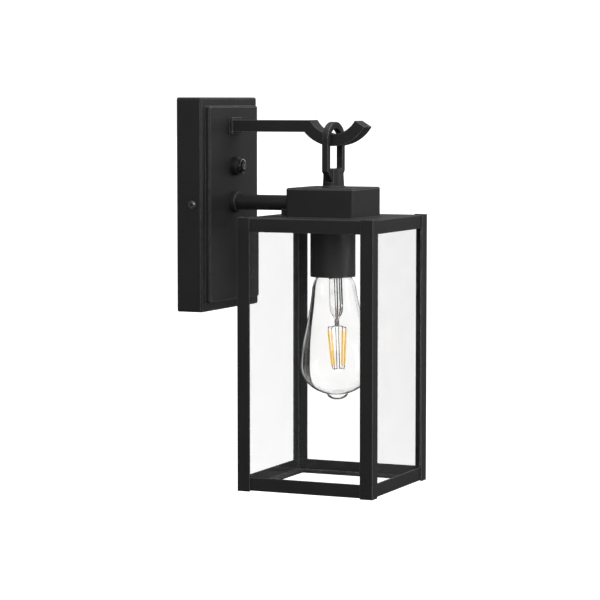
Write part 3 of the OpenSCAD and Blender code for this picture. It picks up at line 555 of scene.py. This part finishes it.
class LanternDetail(bpy.types.PropertyGroup):
    """Sizes of the fine details."""
    coat_edge: length_setting("Coated edge", "Width of the rounding on coated metal", 0.6, 0.05, 1)
    hardware_edge: length_setting("Hardware edge", "Width of the rounding on screws and nuts",
                                  0.14, 0.02, 0.5)
    thread_pitch: length_setting("Thread pitch", "Pitch of the bulb's screw thread", 3.63, 3, 4)
    bulb_lean: bpy.props.FloatProperty(
        name="Bulb lean", description="Lean of the bulb's glass in its base", default=math.radians(1.9),
        min=0.0, max=math.radians(2.0), subtype="ANGLE", unit="ROTATION")
    wire: length_setting("Filament wire", "Radius of the filament frame's wires", 0.32, 0.1, 0.5)
    ribs: bpy.props.IntProperty(
        name="Connector ribs", description="Grip ribs round each wire connector", default=14, min=6, max=24)


class LanternStage(bpy.types.PropertyGroup):
    """Camera and light."""
    camera_at: bpy.props.FloatVectorProperty(
        name="Camera place", description="Where the camera stands, from the back plate's middle",
        default=(-1.9669, -0.9684, 0.0915), subtype="TRANSLATION", unit="LENGTH")
    heading: bpy.props.FloatProperty(
        name="Heading", description="Direction the camera looks, turned from +X towards +Y",
        default=math.radians(24.015), subtype="ANGLE", unit="ROTATION")
    pitch: bpy.props.FloatProperty(
        name="Pitch", description="How far the camera looks down", default=math.radians(4.666),
        subtype="ANGLE", unit="ROTATION")
    lens: bpy.props.FloatProperty(
        name="Lens", description="Focal length on a 36 mm sensor, in millimetres", default=147.3, min=20.0)
    floor_drop: bpy.props.FloatProperty(
        name="Floor drop", description="Floor's distance below the back plate's middle", default=0.62,
        min=0.3, subtype="DISTANCE", unit="LENGTH")
    key_power: bpy.props.FloatProperty(
        name="Key light", description="Power of the key light", default=5.0, min=0.0, unit="POWER")


# Operators.

class CoatMetal(bpy.types.Operator):
    """Powder coat the plate, arms, cap, link, frame and socket cup"""
    bl_idname = "lantern.coat_metal"
    bl_label = "Coated metal"

    def execute(self, context):
        scene = context.scene
        coat = material_for(powder_coated_steel, scene.lantern_finish)
        edge = scene.lantern_detail.coat_edge
        dress(("back_plate", "arm_collar", "upper_arm", "tube_flange", "tube_saddle", "box_cap",
               "hanging_link", "link_boss", "roof_pan", "bottom_frame", "socket_cup"), coat, edge)
        dress(("post_front_left", "post_front_right", "post_wall_left", "post_wall_right", "tube_arm",
               "glass_clips"), coat, edge * 0.6)
        return {"FINISHED"}


class PlateHardware(bpy.types.Operator):
    """Plate the screws, nuts, nipple and mounting bracket"""
    bl_idname = "lantern.plate_hardware"
    bl_label = "Bracket and hardware"

    def execute(self, context):
        edge = context.scene.lantern_detail.hardware_edge
        dress(("arm_screw", "tube_nut_plate", "tube_nut_box", "box_screws", "boss_screw", "threaded_nipple",
               "nipple_nut"), material_for(metal, "zinc_plated_steel"), edge)
        dress(("side_screws",), material_for(nickel_screw_painted_shade_and_rim), edge)
        dress(("mounting_bracket",), material_for(metal, "zinc_plated_strip"), edge * 1.5)
        dress(("earth_screws",), material_for(metal, "green_chromated_steel"), edge)
        return {"FINISHED"}


class GlazeLantern(bpy.types.Operator):
    """Glaze the four sides"""
    bl_idname = "lantern.glaze"
    bl_label = "Panes"

    def execute(self, context):
        dress(("glass_front", "glass_wall_side", "glass_left", "glass_right"),
              material_for(clear_glass, "float_glass"), 0.3 * MM, 2)
        return {"FINISHED"}


class FitPhotocell(bpy.types.Operator):
    """Fit the photocell's dome and sensor, and finish its housing and nut"""
    bl_idname = "lantern.fit_photocell"
    bl_label = "Photocell"

    def execute(self, context):
        dress(("photocell_housing", "photocell_nut"), material_for(dull, "moulded_nylon"),
              context.scene.lantern_detail.hardware_edge * 2)
        low, high, middle = span("photocell_dome")
        radius = (high.z - low.z) / 2
        deep = high.y - low.y
        facing = faces_out(middle.x, high.y, middle.z)
        crown = radius * 1.25
        rise = crown - math.sqrt(crown ** 2 - radius ** 2)

        def fluted(r, depth):
            return lambda angle: r - depth * abs(math.sin(4 * angle)) ** 3

        def skin(inset, flute):
            r = radius - inset
            top = deep - inset
            line = [(0.0, r), (0.7 * MM, r), (0.9 * MM, r - 0.5 * MM),
                    (1.4 * MM, fluted(r - 0.4 * MM, flute)),
                    (top - rise - 0.3 * MM, fluted(r - 0.3 * MM, flute))]
            for i in range(1, 15):
                angle = math.asin(r / crown) * (1 - i / 15)
                groove = 0.3 * MM if i in (5, 6, 10) else 0.0
                line.append((top - crown + crown * math.cos(angle) - groove,
                             fluted(crown * math.sin(angle), flute * (1 - i / 14))))
            return line + [(top, 0.02 * MM)]
        bm = bmesh.new()
        outer = [(-depth, r) for depth, r in skin(0.0, 0.7 * MM)]
        inner = [(-depth, r) for depth, r in skin(1.6 * MM, 0.0)]
        turned(bm, outer + inner[::-1], 56, closed=True)
        new_piece("photocell_cap", bm, "lamp", [material_for(clear_glass, "moulded_polycarbonate")],
                  "photocell_dome",
                  facing @ Matrix.Rotation(math.pi, 4, "X") @ Matrix.Scale(-1, 4, (0, 0, 1)))

        low, high, middle = span("photocell_sensor")
        radius = (high.z - low.z) / 2
        thick = high.y - low.y
        bm = bmesh.new()
        turned(bm, [(0.0, radius - 0.2 * MM), (0.2 * MM, radius), (thick * 0.75, radius),
                    (thick * 0.9, radius - 0.25 * MM)], 40)
        track = []
        rows = 7
        for row in range(rows):
            across = (row / (rows - 1) * 2 - 1) * radius * 0.66
            half = math.sqrt((radius * 0.8) ** 2 - across ** 2)
            ends = (-half, half) if row % 2 else (half, -half)
            track += [(ends[0], across, -thick * 0.92), (ends[1], across, -thick * 0.92)]
        swept(bm, track, 0.16 * MM, 6, 1)
        new_piece("light_sensor", bm, "lamp",
                  [material_for(dull, "sintered_ceramic"), material_for(metal, "printed_metal_film")],
                  "photocell_sensor", faces_out(middle.x, high.y, middle.z))
        return {"FINISHED"}


def thread(depth_start, depth_end, crest, root, pitch, fade):
    """A rolled thread as rings: each radius follows the helix, and the thread fades in and out."""
    steps = int((depth_end - depth_start) / pitch * 12)
    profile = []
    for i in range(steps + 1):
        depth = depth_start + (depth_end - depth_start) * i / steps
        near = min(depth - depth_start, depth_end - depth) / fade
        strength = max(0.0, min(1.0, near))

        def radius(angle, depth=depth, strength=strength):
            wave = math.cos(2 * math.pi * (depth / pitch) + angle)
            return (crest + root) / 2 + strength * (crest - root) / 2 * wave
        profile.append((depth, radius))
    return profile


class FitLampholder(bpy.types.Operator):
    """Fit the lampholder's body, contacts and rolled screw shell"""
    bl_idname = "lantern.fit_lampholder"
    bl_label = "Lampholder"

    def execute(self, context):
        detail = context.scene.lantern_detail
        dress(("lampholder_body",), material_for(dull, "moulded_phenolic"), 0.3 * MM)
        dress(("centre_contact", "shell_rivet"), material_for(metal, "stamped_brass"), detail.hardware_edge)
        low, high, _ = span("screw_shell")
        outside = (high.x - low.x) / 2
        top, bottom = BULB_TOP - high.z, BULB_TOP - low.z
        wall = 0.35 * MM
        bm = bmesh.new()
        outer = thread(top + 1.2 * MM, bottom - 1.6 * MM, outside - 0.05 * MM, outside - 0.55 * MM,
                       detail.thread_pitch, 2 * MM)
        rolled = [(top, outside - 6 * MM), (top, outside - 1.2 * MM), (top + 0.4 * MM, outside - 0.4 * MM)]
        rolled += outer
        rolled += [(bottom - 0.8 * MM, outside - 0.3 * MM), (bottom, outside - 0.02 * MM)]

        def shrunk(radius):
            return (lambda angle: radius(angle) - wall) if callable(radius) else radius - wall
        inner = [(max(depth, top + wall), shrunk(radius)) for depth, radius in rolled[1:]]
        turned(bm, rolled + inner[::-1] + [(top + wall, outside - 6 * MM)], 72, closed=True)
        new_piece("rolled_screw_shell", bm, "lamp", [material_for(metal, "stamped_brass")], "screw_shell",
                  at_bulb())
        return {"FINISHED"}


class FitBulbBase(bpy.types.Operator):
    """Fit the bulb's rolled base, its insulator, tip and cement"""
    bl_idname = "lantern.fit_bulb_base"
    bl_label = "Bulb base"

    def execute(self, context):
        detail = context.scene.lantern_detail
        low, high, _ = span("bulb_base")
        crest = (high.x - low.x) / 2 - 0.02 * MM
        top, bottom = BULB_TOP - high.z, BULB_TOP - low.z
        bm = bmesh.new()
        cone = crest - 4 * MM
        profile = [(top, cone), (top + 0.7 * MM, cone + 1.3 * MM), (top + 1.5 * MM, crest - 1.5 * MM),
                   (top + 2.2 * MM, crest - 0.8 * MM)]
        profile += thread(top + 2.4 * MM, bottom - 3.2 * MM, crest, crest - 1.0 * MM, detail.thread_pitch,
                          2 * MM)
        profile += [(bottom - 2.6 * MM, crest - 0.5 * MM), (bottom - 1.2 * MM, crest - 0.35 * MM),
                    (bottom - 0.3 * MM, crest - 0.25 * MM), (bottom, crest - 0.45 * MM),
                    (bottom, crest - 1.0 * MM), (bottom - 0.6 * MM, crest - 1.35 * MM),
                    (top + 3.4 * MM, crest - 1.6 * MM), (top + 0.9 * MM, cone)]
        turned(bm, profile, 96, closed=True)
        new_piece("rolled_bulb_base", bm, "bulb", [material_for(metal, "nickel_plated_brass")], "bulb_base",
                  at_bulb())
        dress(("base_insulator",), material_for(fused_black_glass), detail.hardware_edge)
        dress(("contact_tip",), material_for(soft_solder), detail.hardware_edge)
        dress(("base_cement",), material_for(dull, "basing_cement"), detail.hardware_edge)
        return {"FINISHED"}


# The stem and what it carries stand a little off the glass's axis, as they are sealed in by hand.
MOUNT_SHIFT = Matrix.Translation((0.6 * MM, -1.3 * MM, 0))


# The bulb's glass: its neck, its widest ring, and depths below the contact tip.
NECK, WIDEST, NECK_DEPTH, BULB_LENGTH = 10.8 * MM, 32 * MM, 26.5 * MM, 140 * MM
BULB_WALL, THIN_FROM = 0.9 * MM, 109 * MM
STEM_START, STEM_WALL = 27 * MM, 0.6 * MM


def bulb_outline(neck, widest_radius, neck_depth, length):
    """The bulb's outer outline as (depth, radius): neck, shoulder, long flare, round end and nipple."""
    widest = length * 0.78
    tip_radius, tip_length = 9.3 * MM, 5.4 * MM
    flare = [(neck_depth - 4.5 * MM, neck), (neck_depth + 0.5 * MM, neck),
             (neck_depth + 5.3 * MM, widest_radius * 0.475), (neck_depth + 12.0 * MM, widest_radius * 0.58),
             (neck_depth + 21.5 * MM, widest_radius * 0.625), (length * 0.44, widest_radius * 0.7),
             (length * 0.565, widest_radius * 0.83), (length * 0.66, widest_radius * 0.93),
             (widest, widest_radius)]
    line = [(p.x, p.y) for p in smooth_line([(d, r, 0) for d, r in flare], 9)]
    end_depth = length - tip_length - widest
    end_turn = math.acos(tip_radius / widest_radius)
    for i in range(1, 31):
        a = end_turn * i / 30
        line.append((widest + end_depth * math.sin(a) / math.sin(end_turn), widest_radius * math.cos(a)))
    for i in range(1, 13):
        a = math.pi / 2 * i / 12
        line.append((length - tip_length + tip_length * math.sin(a),
                     max(tip_radius * math.cos(a), 0.03 * MM)))
    return line


class BlowBulb(bpy.types.Operator):
    """Blow the bulb's glass and flame-work its stem"""
    bl_idname = "lantern.blow_bulb"
    bl_label = "Bulb glass and stem"

    def execute(self, context):
        lean = at_glass(context.scene.lantern_detail.bulb_lean)
        outer = bulb_outline(NECK, WIDEST, NECK_DEPTH, BULB_LENGTH)
        inner = [(d if d < THIN_FROM else d - BULB_WALL * (d - THIN_FROM) / (BULB_LENGTH - THIN_FROM),
                  max(r - BULB_WALL, 0.02 * MM)) for d, r in outer]
        bm = bmesh.new()
        turned(bm, outer + inner[::-1], 112, closed=True)
        new_piece("bulb_envelope", bm, "bulb", [material_for(clear_glass, "blown_soda_glass")], "bulb_glass",
                  lean)

        # The stem is a flared tube, drawn in and pinched flat where the wires leave it.
        rings = [(0.0, 9.2, 9.2), (0.9, 8.9, 8.9), (2.6, 7.3, 7.3), (5.0, 5.9, 5.9), (8.0, 5.8, 5.8),
                 (16.0, 5.8, 5.8), (31.0, 5.8, 5.8), (35.0, 5.5, 5.5), (37.6, 4.8, 4.7), (39.4, 4.0, 3.8),
                 (40.8, 3.2, 2.8), (41.8, 2.4, 2.1), (42.4, 1.6, 1.5), (42.6, 0.8, 0.8)]

        def oval(depth, wide, deep):
            return [(wide * math.cos(a), deep * math.sin(a), -depth)
                    for a in (2 * math.pi * k / 48 for k in range(48))]
        bm = bmesh.new()
        outside = [oval(STEM_START + d * MM, w * MM, t * MM) for d, w, t in rings]
        inside = [oval(STEM_START + (d + (STEM_WALL / MM if d < 0.5 else 0)) * MM,
                       max(w * MM - STEM_WALL, 0.1 * MM), max(t * MM - STEM_WALL, 0.1 * MM))
                  for d, w, t in rings[:9]]
        inside += [oval(STEM_START + 39.0 * MM, 2.6 * MM, 2.5 * MM),
                   oval(STEM_START + 39.7 * MM, 0.8 * MM, 0.8 * MM)]
        loft(bm, outside)
        loft(bm, inside)
        new_piece("flame_worked_stem", bm, "bulb", [material_for(clear_glass, "flame_worked_glass")],
                  "bulb_stem", lean @ MOUNT_SHIFT)
        return {"FINISHED"}


TOP_RADIUS, FOOT_RADIUS, TOP_DEPTH = 9.1 * MM, 6.3 * MM, 79 * MM
STRIP_LENGTH = 31.7 * MM
FOOT_DEPTH = TOP_DEPTH + math.sqrt(STRIP_LENGTH ** 2 - (TOP_RADIUS - FOOT_RADIUS) ** 2)
STRIP_TURN = math.radians(-9)


def around(turn, radius, depth):
    """A point round the bulb's axis, from the front towards the right."""
    return Vector((radius * math.sin(turn), -radius * math.cos(turn), -depth))


class HangFilaments(bpy.types.Operator):
    """Hang the four filament strips on their wire frame"""
    bl_idname = "lantern.hang_filaments"
    bl_label = "Filaments"

    def execute(self, context):
        scene = context.scene
        lean = at_glass(scene.lantern_detail.bulb_lean)
        phosphor = material_for(phosphor_silicone_painted_glow, scene.lantern_finish)
        nickel = material_for(metal, "drawn_nickel_wire")
        for k, node in enumerate(("filament_front", "filament_right", "filament_back", "filament_left")):
            turn = STRIP_TURN + k * math.pi / 2
            top, foot = around(turn, TOP_RADIUS, TOP_DEPTH), around(turn, FOOT_RADIUS, FOOT_DEPTH)
            along = foot - top
            bm = bmesh.new()
            line, radii = [], []
            for i in range(41):
                t = 0.01 + 0.98 * i / 40
                line.append(top + along * t)
                end = min(i, 40 - i)
                rippled = 0.84 + 0.05 * math.cos(i * math.pi)
                radii.append((rippled if end > 1 else 0.55 + 0.16 * end) * MM)
            swept(bm, line, radii, 14)
            for start_t, end_t in ((-0.03, 0.03), (0.97, 1.03)):
                swept(bm, [top + along * start_t, top + along * end_t], 0.42 * MM, 8, 1)
            new_piece(node + "_strip", bm, "bulb", [phosphor, nickel], node, lean @ MOUNT_SHIFT)

        wire = scene.lantern_detail.wire
        hub = 75.8 * MM  # Depth of the clamp's lower end, which the arms spring from.
        foot = FOOT_DEPTH + 2.2 * MM
        bm = bmesh.new()
        # Lead wires run down the stem, copper-clad where the glass is pinched on them.
        for side in (-1, 1):
            swept(bm, [(side * 1.9 * MM, 0, -25.5 * MM), (side * 1.8 * MM, 0, -45 * MM),
                       (side * 1.5 * MM, 0, -58 * MM)], wire, 10)
            swept(bm, [(side * 1.5 * MM, 0, -58 * MM), (side * 1.2 * MM, 0, -61 * MM),
                       (side * 1.0 * MM, 0, -69.6 * MM)], wire * 1.25, 10, 1)
        # The clamp under the stem.
        turned(bm, [(69.4 * MM, 1.3 * MM), (69.9 * MM, 2.0 * MM), (71.6 * MM, 2.15 * MM),
                    (73.4 * MM, 2.0 * MM), (74.8 * MM, 2.1 * MM), (75.4 * MM, 1.8 * MM), (hub, 1.2 * MM)], 20)
        for side in (0, math.pi):
            turn = STRIP_TURN + math.radians(45) + side
            post_top, post_foot = around(turn, 1.2 * MM, hub - 2 * MM), around(turn, 1.2 * MM, foot)
            swept(bm, [post_top, (post_top + post_foot) / 2, post_foot], wire * 1.15, 10)
            for swing in (-math.pi / 4, math.pi / 4):
                end = around(turn + swing, TOP_RADIUS, TOP_DEPTH)
                arch = around(turn + swing * 0.8, 5.0 * MM, hub + 0.1 * MM)
                bend = around(turn + swing, 8.9 * MM, hub + 0.9 * MM)
                swept(bm, smooth_line([around(turn, 1.0 * MM, hub - 1.0 * MM), arch, bend], 6), wire * 1.1, 8)
                swept(bm, [bend, (bend + end) / 2, end], wire * 0.8, 8)
                ball(bm, bend, 0.62 * MM)
                low = around(turn + swing, FOOT_RADIUS, FOOT_DEPTH)
                curl = around(turn + swing * 0.9, 5.4 * MM, FOOT_DEPTH + 2.6 * MM)
                under = around(turn + swing * 0.5, 2.9 * MM, foot + 0.2 * MM)
                swept(bm, smooth_line([low, curl, under, post_foot], 6), wire * 0.85, 8)
                ball(bm, low, 0.55 * MM)
            ball(bm, post_foot, 0.6 * MM)
        new_piece("filament_frame", bm, "bulb", [nickel, material_for(metal, "copper_clad_wire")],
                  "filament_wires", lean @ MOUNT_SHIFT)
        return {"FINISHED"}


class RunWiring(bpy.types.Operator):
    """Run the insulated leads and fit the ribbed wire connectors"""
    bl_idname = "lantern.run_wiring"
    bl_label = "Leads and connectors"

    def execute(self, context):
        ribs = context.scene.lantern_detail.ribs
        for name, colour in (("live_lead", "black"), ("neutral_lead", "white"), ("earth_lead", "green")):
            node = nodes[name]
            node.data.materials.clear()
            node.data.materials.append(material_for(dull, colour + "_pvc_insulation"))
            node.modifiers.new("weld", "WELD").merge_threshold = 0.005 * MM
            rounding = node.modifiers.new("rounding", "SUBSURF")
            rounding.levels = rounding.render_levels = 1
        for name in ("live_connector", "neutral_connector"):
            low, high, middle = span(name)
            tall, wide = high.z - low.z, (high.x - low.x) / 2

            def ribbed(radius, depth):
                return lambda angle: radius - depth * (0.5 + 0.5 * math.cos(ribs * angle)) ** 2
            bore = 2.6 * MM
            profile = [(0.0, wide - 0.5 * MM), (0.5 * MM, wide), (2.2 * MM, wide),
                       (3.0 * MM, wide - 0.45 * MM)]
            for i in range(9):
                t = i / 8
                profile.append((3.2 * MM + t * (tall - 6.4 * MM), ribbed(wide * (0.93 - 0.24 * t), 0.5 * MM)))
            profile += [(tall - 2.4 * MM, wide * 0.66), (tall - 1.0 * MM, wide * 0.58),
                        (tall - 0.2 * MM, wide * 0.4), (tall, wide * 0.12)]
            bm = bmesh.new()
            turned(bm, profile + [(tall - 2.5 * MM, 0.1 * MM), (tall - 4 * MM, bore * 0.8), (2 * MM, bore),
                                  (0.0, bore + 0.5 * MM)], 112, closed=True)
            new_piece(name + "_shell", bm, "lamp", [material_for(dull, "moulded_polypropylene")], name,
                      Matrix.Translation((middle.x, middle.y, high.z)))
        return {"FINISHED"}


class LaySeals(bpy.types.Operator):
    """Lay the two foam seals inside the plate's rim"""
    bl_idname = "lantern.lay_seals"
    bl_label = "Foam seals"

    def execute(self, context):
        foam = material_for(closed_cell_foam)
        for name in ("wall_seal_upper", "wall_seal_lower"):
            bm = bmesh.new()
            bm.from_mesh(nodes[name].data)
            bmesh.ops.remove_doubles(bm, verts=bm.verts, dist=0.005 * MM)
            bmesh.ops.dissolve_limit(bm, angle_limit=math.radians(2), verts=bm.verts, edges=bm.edges)
            sharp = [e for e in bm.edges if e.calc_face_angle(0) > math.radians(30)]
            bmesh.ops.bevel(bm, geom=sharp, offset=0.8 * MM, segments=4, profile=0.5, affect="EDGES",
                            clamp_overlap=True)
            seal = new_piece(name + "_foam", bm, "lamp", [foam], name)
        return {"FINISHED"}


def area_light(name, place, target, size, power):
    """A soft light that faces a point."""
    data = bpy.data.lights.new(name, "AREA")
    data.shape = "RECTANGLE"
    data.size, data.size_y = size
    data.energy = power
    light = bpy.data.objects.new(name, data)
    light.location = place
    light.rotation_euler = (Vector(target) - Vector(place)).to_track_quat("-Z", "Y").to_euler()
    bpy.context.scene.collection.objects.link(light)
    return light


def seen_straight(tree):
    """1 for what is seen directly or through glass, 0 for light that has bounced off something."""
    rays = add(tree, "ShaderNodeLightPath")
    bounced = maths(tree, "ADD", (rays, "Glossy Depth"), (rays, "Diffuse Depth"))
    return maths(tree, "LESS_THAN", (bounced, "Value"), 0.5)


class SetStage(bpy.types.Operator):
    """Set the pale floor, the soft studio light and the camera"""
    bl_idname = "lantern.set_stage"
    bl_label = "Studio"

    def execute(self, context):
        scene = context.scene
        stage = scene.lantern_stage
        scene.view_settings.view_transform = "Standard"

        # Pale painted floor, rolled on: almost white, with a faint nap.
        material, tree, shader, place, output = start("pale_painted_floor", IOR=1.45,
                                                      Emission_Color=(1.0, 1.0, 1.0, 1.0))
        cloud = noise(tree, place, 0.35, 3.0, 0.5)
        tone = blend(tree, (cloud, "Fac"), linear("#F6F6F6"), linear("#FDFDFD"))
        # It glows white to the eye, and throws only a little light back up.
        seen = seen_straight(tree)
        dim = blend(tree, (seen, "Value"), linear("#6A6A6A"), (tone, 2))
        link(tree, (dim, 2), shader, "Base Color")
        glow = spread(tree, (seen, "Value"), 0.0, 1.0, 0.0, 1.06)
        link(tree, (glow, "Result"), shader, "Emission Strength")
        roughen(tree, shader, cloud, 0.3, 0.7, 0.75, 0.9)
        nap = noise(tree, place, 3 * MM, 2.0)
        bumps(tree, shader, ((nap, "Fac"), 0.1 * MM))
        # Its underside is clear, so that the lantern can be seen from below.
        side = add(tree, "ShaderNodeNewGeometry")
        clear = add(tree, "ShaderNodeBsdfTransparent")
        one_sided = add(tree, "ShaderNodeMixShader",
                        {0: (side, "Backfacing"), 1: (shader, "BSDF"), 2: (clear, "BSDF")})
        link(tree, (one_sided, "Shader"), output, "Surface")
        bm = bmesh.new()
        bmesh.ops.create_grid(bm, x_segments=8, y_segments=8, size=40.0)
        mesh = bpy.data.meshes.new("studio_floor")
        bm.to_mesh(mesh)
        bm.free()
        mesh.materials.append(material)
        floor = bpy.data.objects.new("studio_floor", mesh)
        floor.location = (0.0, 0.0, -stage.floor_drop)
        scene.collection.objects.link(floor)

        # Room light: white to the eye, and brighter from the front right and above.
        world = bpy.data.worlds.new("studio_room")
        scene.world = world
        world.use_nodes = True
        tree = world.node_tree
        tree.nodes.clear()
        where = add(tree, "ShaderNodeTexCoord")
        split = add(tree, "ShaderNodeSeparateXYZ", {"Vector": (where, "Generated")})
        side = maths(tree, "MULTIPLY_ADD", (split, "X"), 0.45, 0.55)
        front = maths(tree, "MULTIPLY_ADD", (split, "Y"), -0.35, (side, "Value"))
        above = maths(tree, "MULTIPLY_ADD", (split, "Z"), 0.15, (front, "Value"))
        soft = spread(tree, (above, "Value"), 0.0, 1.3, 0.19, 0.36)
        # Glass mirrors brighter windows on the right and overhead.
        rays = add(tree, "ShaderNodeLightPath")
        aim = maths(tree, "MULTIPLY_ADD", (split, "Z"), 1.3, (split, "X"))
        window = spread(tree, (aim, "Value"), -0.1, 1.3, 0.0, 1.0)
        lit = maths(tree, "MULTIPLY_ADD", (window, "Result"), (rays, "Is Singular Ray"), (soft, "Result"))
        seen = seen_straight(tree)
        room = add(tree, "ShaderNodeBackground", {"Strength": (lit, "Value"), "Color": (1.0, 1.0, 1.0, 1.0)})
        white = add(tree, "ShaderNodeBackground", {"Strength": 1.14, "Color": (1.0, 1.0, 1.0, 1.0)})
        mix = add(tree, "ShaderNodeMixShader", {0: (seen, "Value"), 1: (room, "Background"),
                                                2: (white, "Background")})
        add(tree, "ShaderNodeOutputWorld", {"Surface": (mix, "Shader")})

        middle = (LANTERN_X, LANTERN_Y * 0.6, -0.06)
        area_light("key", (0.55, -1.35, 0.75), middle, (0.5, 0.5), stage.key_power)
        area_light("window", (0.1, -1.7, -0.12), middle, (0.3, 0.9), 6.0)
        area_light("top", (0.1, -0.3, 1.4), middle, (0.8, 0.8), 15.0)
        area_light("fill", (-1.5, -0.6, 0.7), middle, (1.0, 1.0), 11.0)

        data = bpy.data.cameras.new("camera")
        data.lens = stage.lens
        data.sensor_width = 36.0
        camera = bpy.data.objects.new("camera", data)
        camera.location = stage.camera_at
        look = Vector((math.cos(stage.heading) * math.cos(stage.pitch),
                       math.sin(stage.heading) * math.cos(stage.pitch), -math.sin(stage.pitch)))
        camera.rotation_euler = look.to_track_quat("-Z", "Y").to_euler()
        scene.collection.objects.link(camera)
        scene.camera = camera
        return {"FINISHED"}


PIECES = (CoatMetal, PlateHardware, GlazeLantern, FitPhotocell, FitLampholder, FitBulbBase, BlowBulb,
          HangFilaments, RunWiring, LaySeals, SetStage)


class LanternPanel(bpy.types.Panel):
    """Lists the lantern's settings and pieces"""
    bl_idname = "VIEW3D_PT_lantern"
    bl_label = "Wall lantern"
    bl_space_type = "VIEW_3D"
    bl_region_type = "UI"
    bl_category = "Lantern"

    def draw(self, context):
        scene = context.scene
        for title, settings in (("Finish", scene.lantern_finish), ("Detail", scene.lantern_detail),
                                ("Stage", scene.lantern_stage)):
            box = self.layout.box()
            box.label(text=title)
            for name in settings.__annotations__:
                box.prop(settings, name)
        column = self.layout.column(align=True)
        for piece in PIECES:
            column.operator(piece.bl_idname)


CLASSES = (LanternFinish, LanternDetail, LanternStage) + PIECES + (LanternPanel,)


def register():
    """Registers the classes and their settings on the scene."""
    for cls in CLASSES:
        bpy.utils.register_class(cls)
    bpy.types.Scene.lantern_finish = bpy.props.PointerProperty(type=LanternFinish)
    bpy.types.Scene.lantern_detail = bpy.props.PointerProperty(type=LanternDetail)
    bpy.types.Scene.lantern_stage = bpy.props.PointerProperty(type=LanternStage)


def unregister():
    """Removes the settings and classes."""
    del bpy.types.Scene.lantern_stage
    del bpy.types.Scene.lantern_detail
    del bpy.types.Scene.lantern_finish
    for cls in reversed(CLASSES):
        bpy.utils.unregister_class(cls)


def main():
    """Finishes every piece in order."""
    register()
    for piece in PIECES:
        group, name = piece.bl_idname.split(".")
        getattr(getattr(bpy.ops, group), name)()


if __name__ == "__main__":
    main()
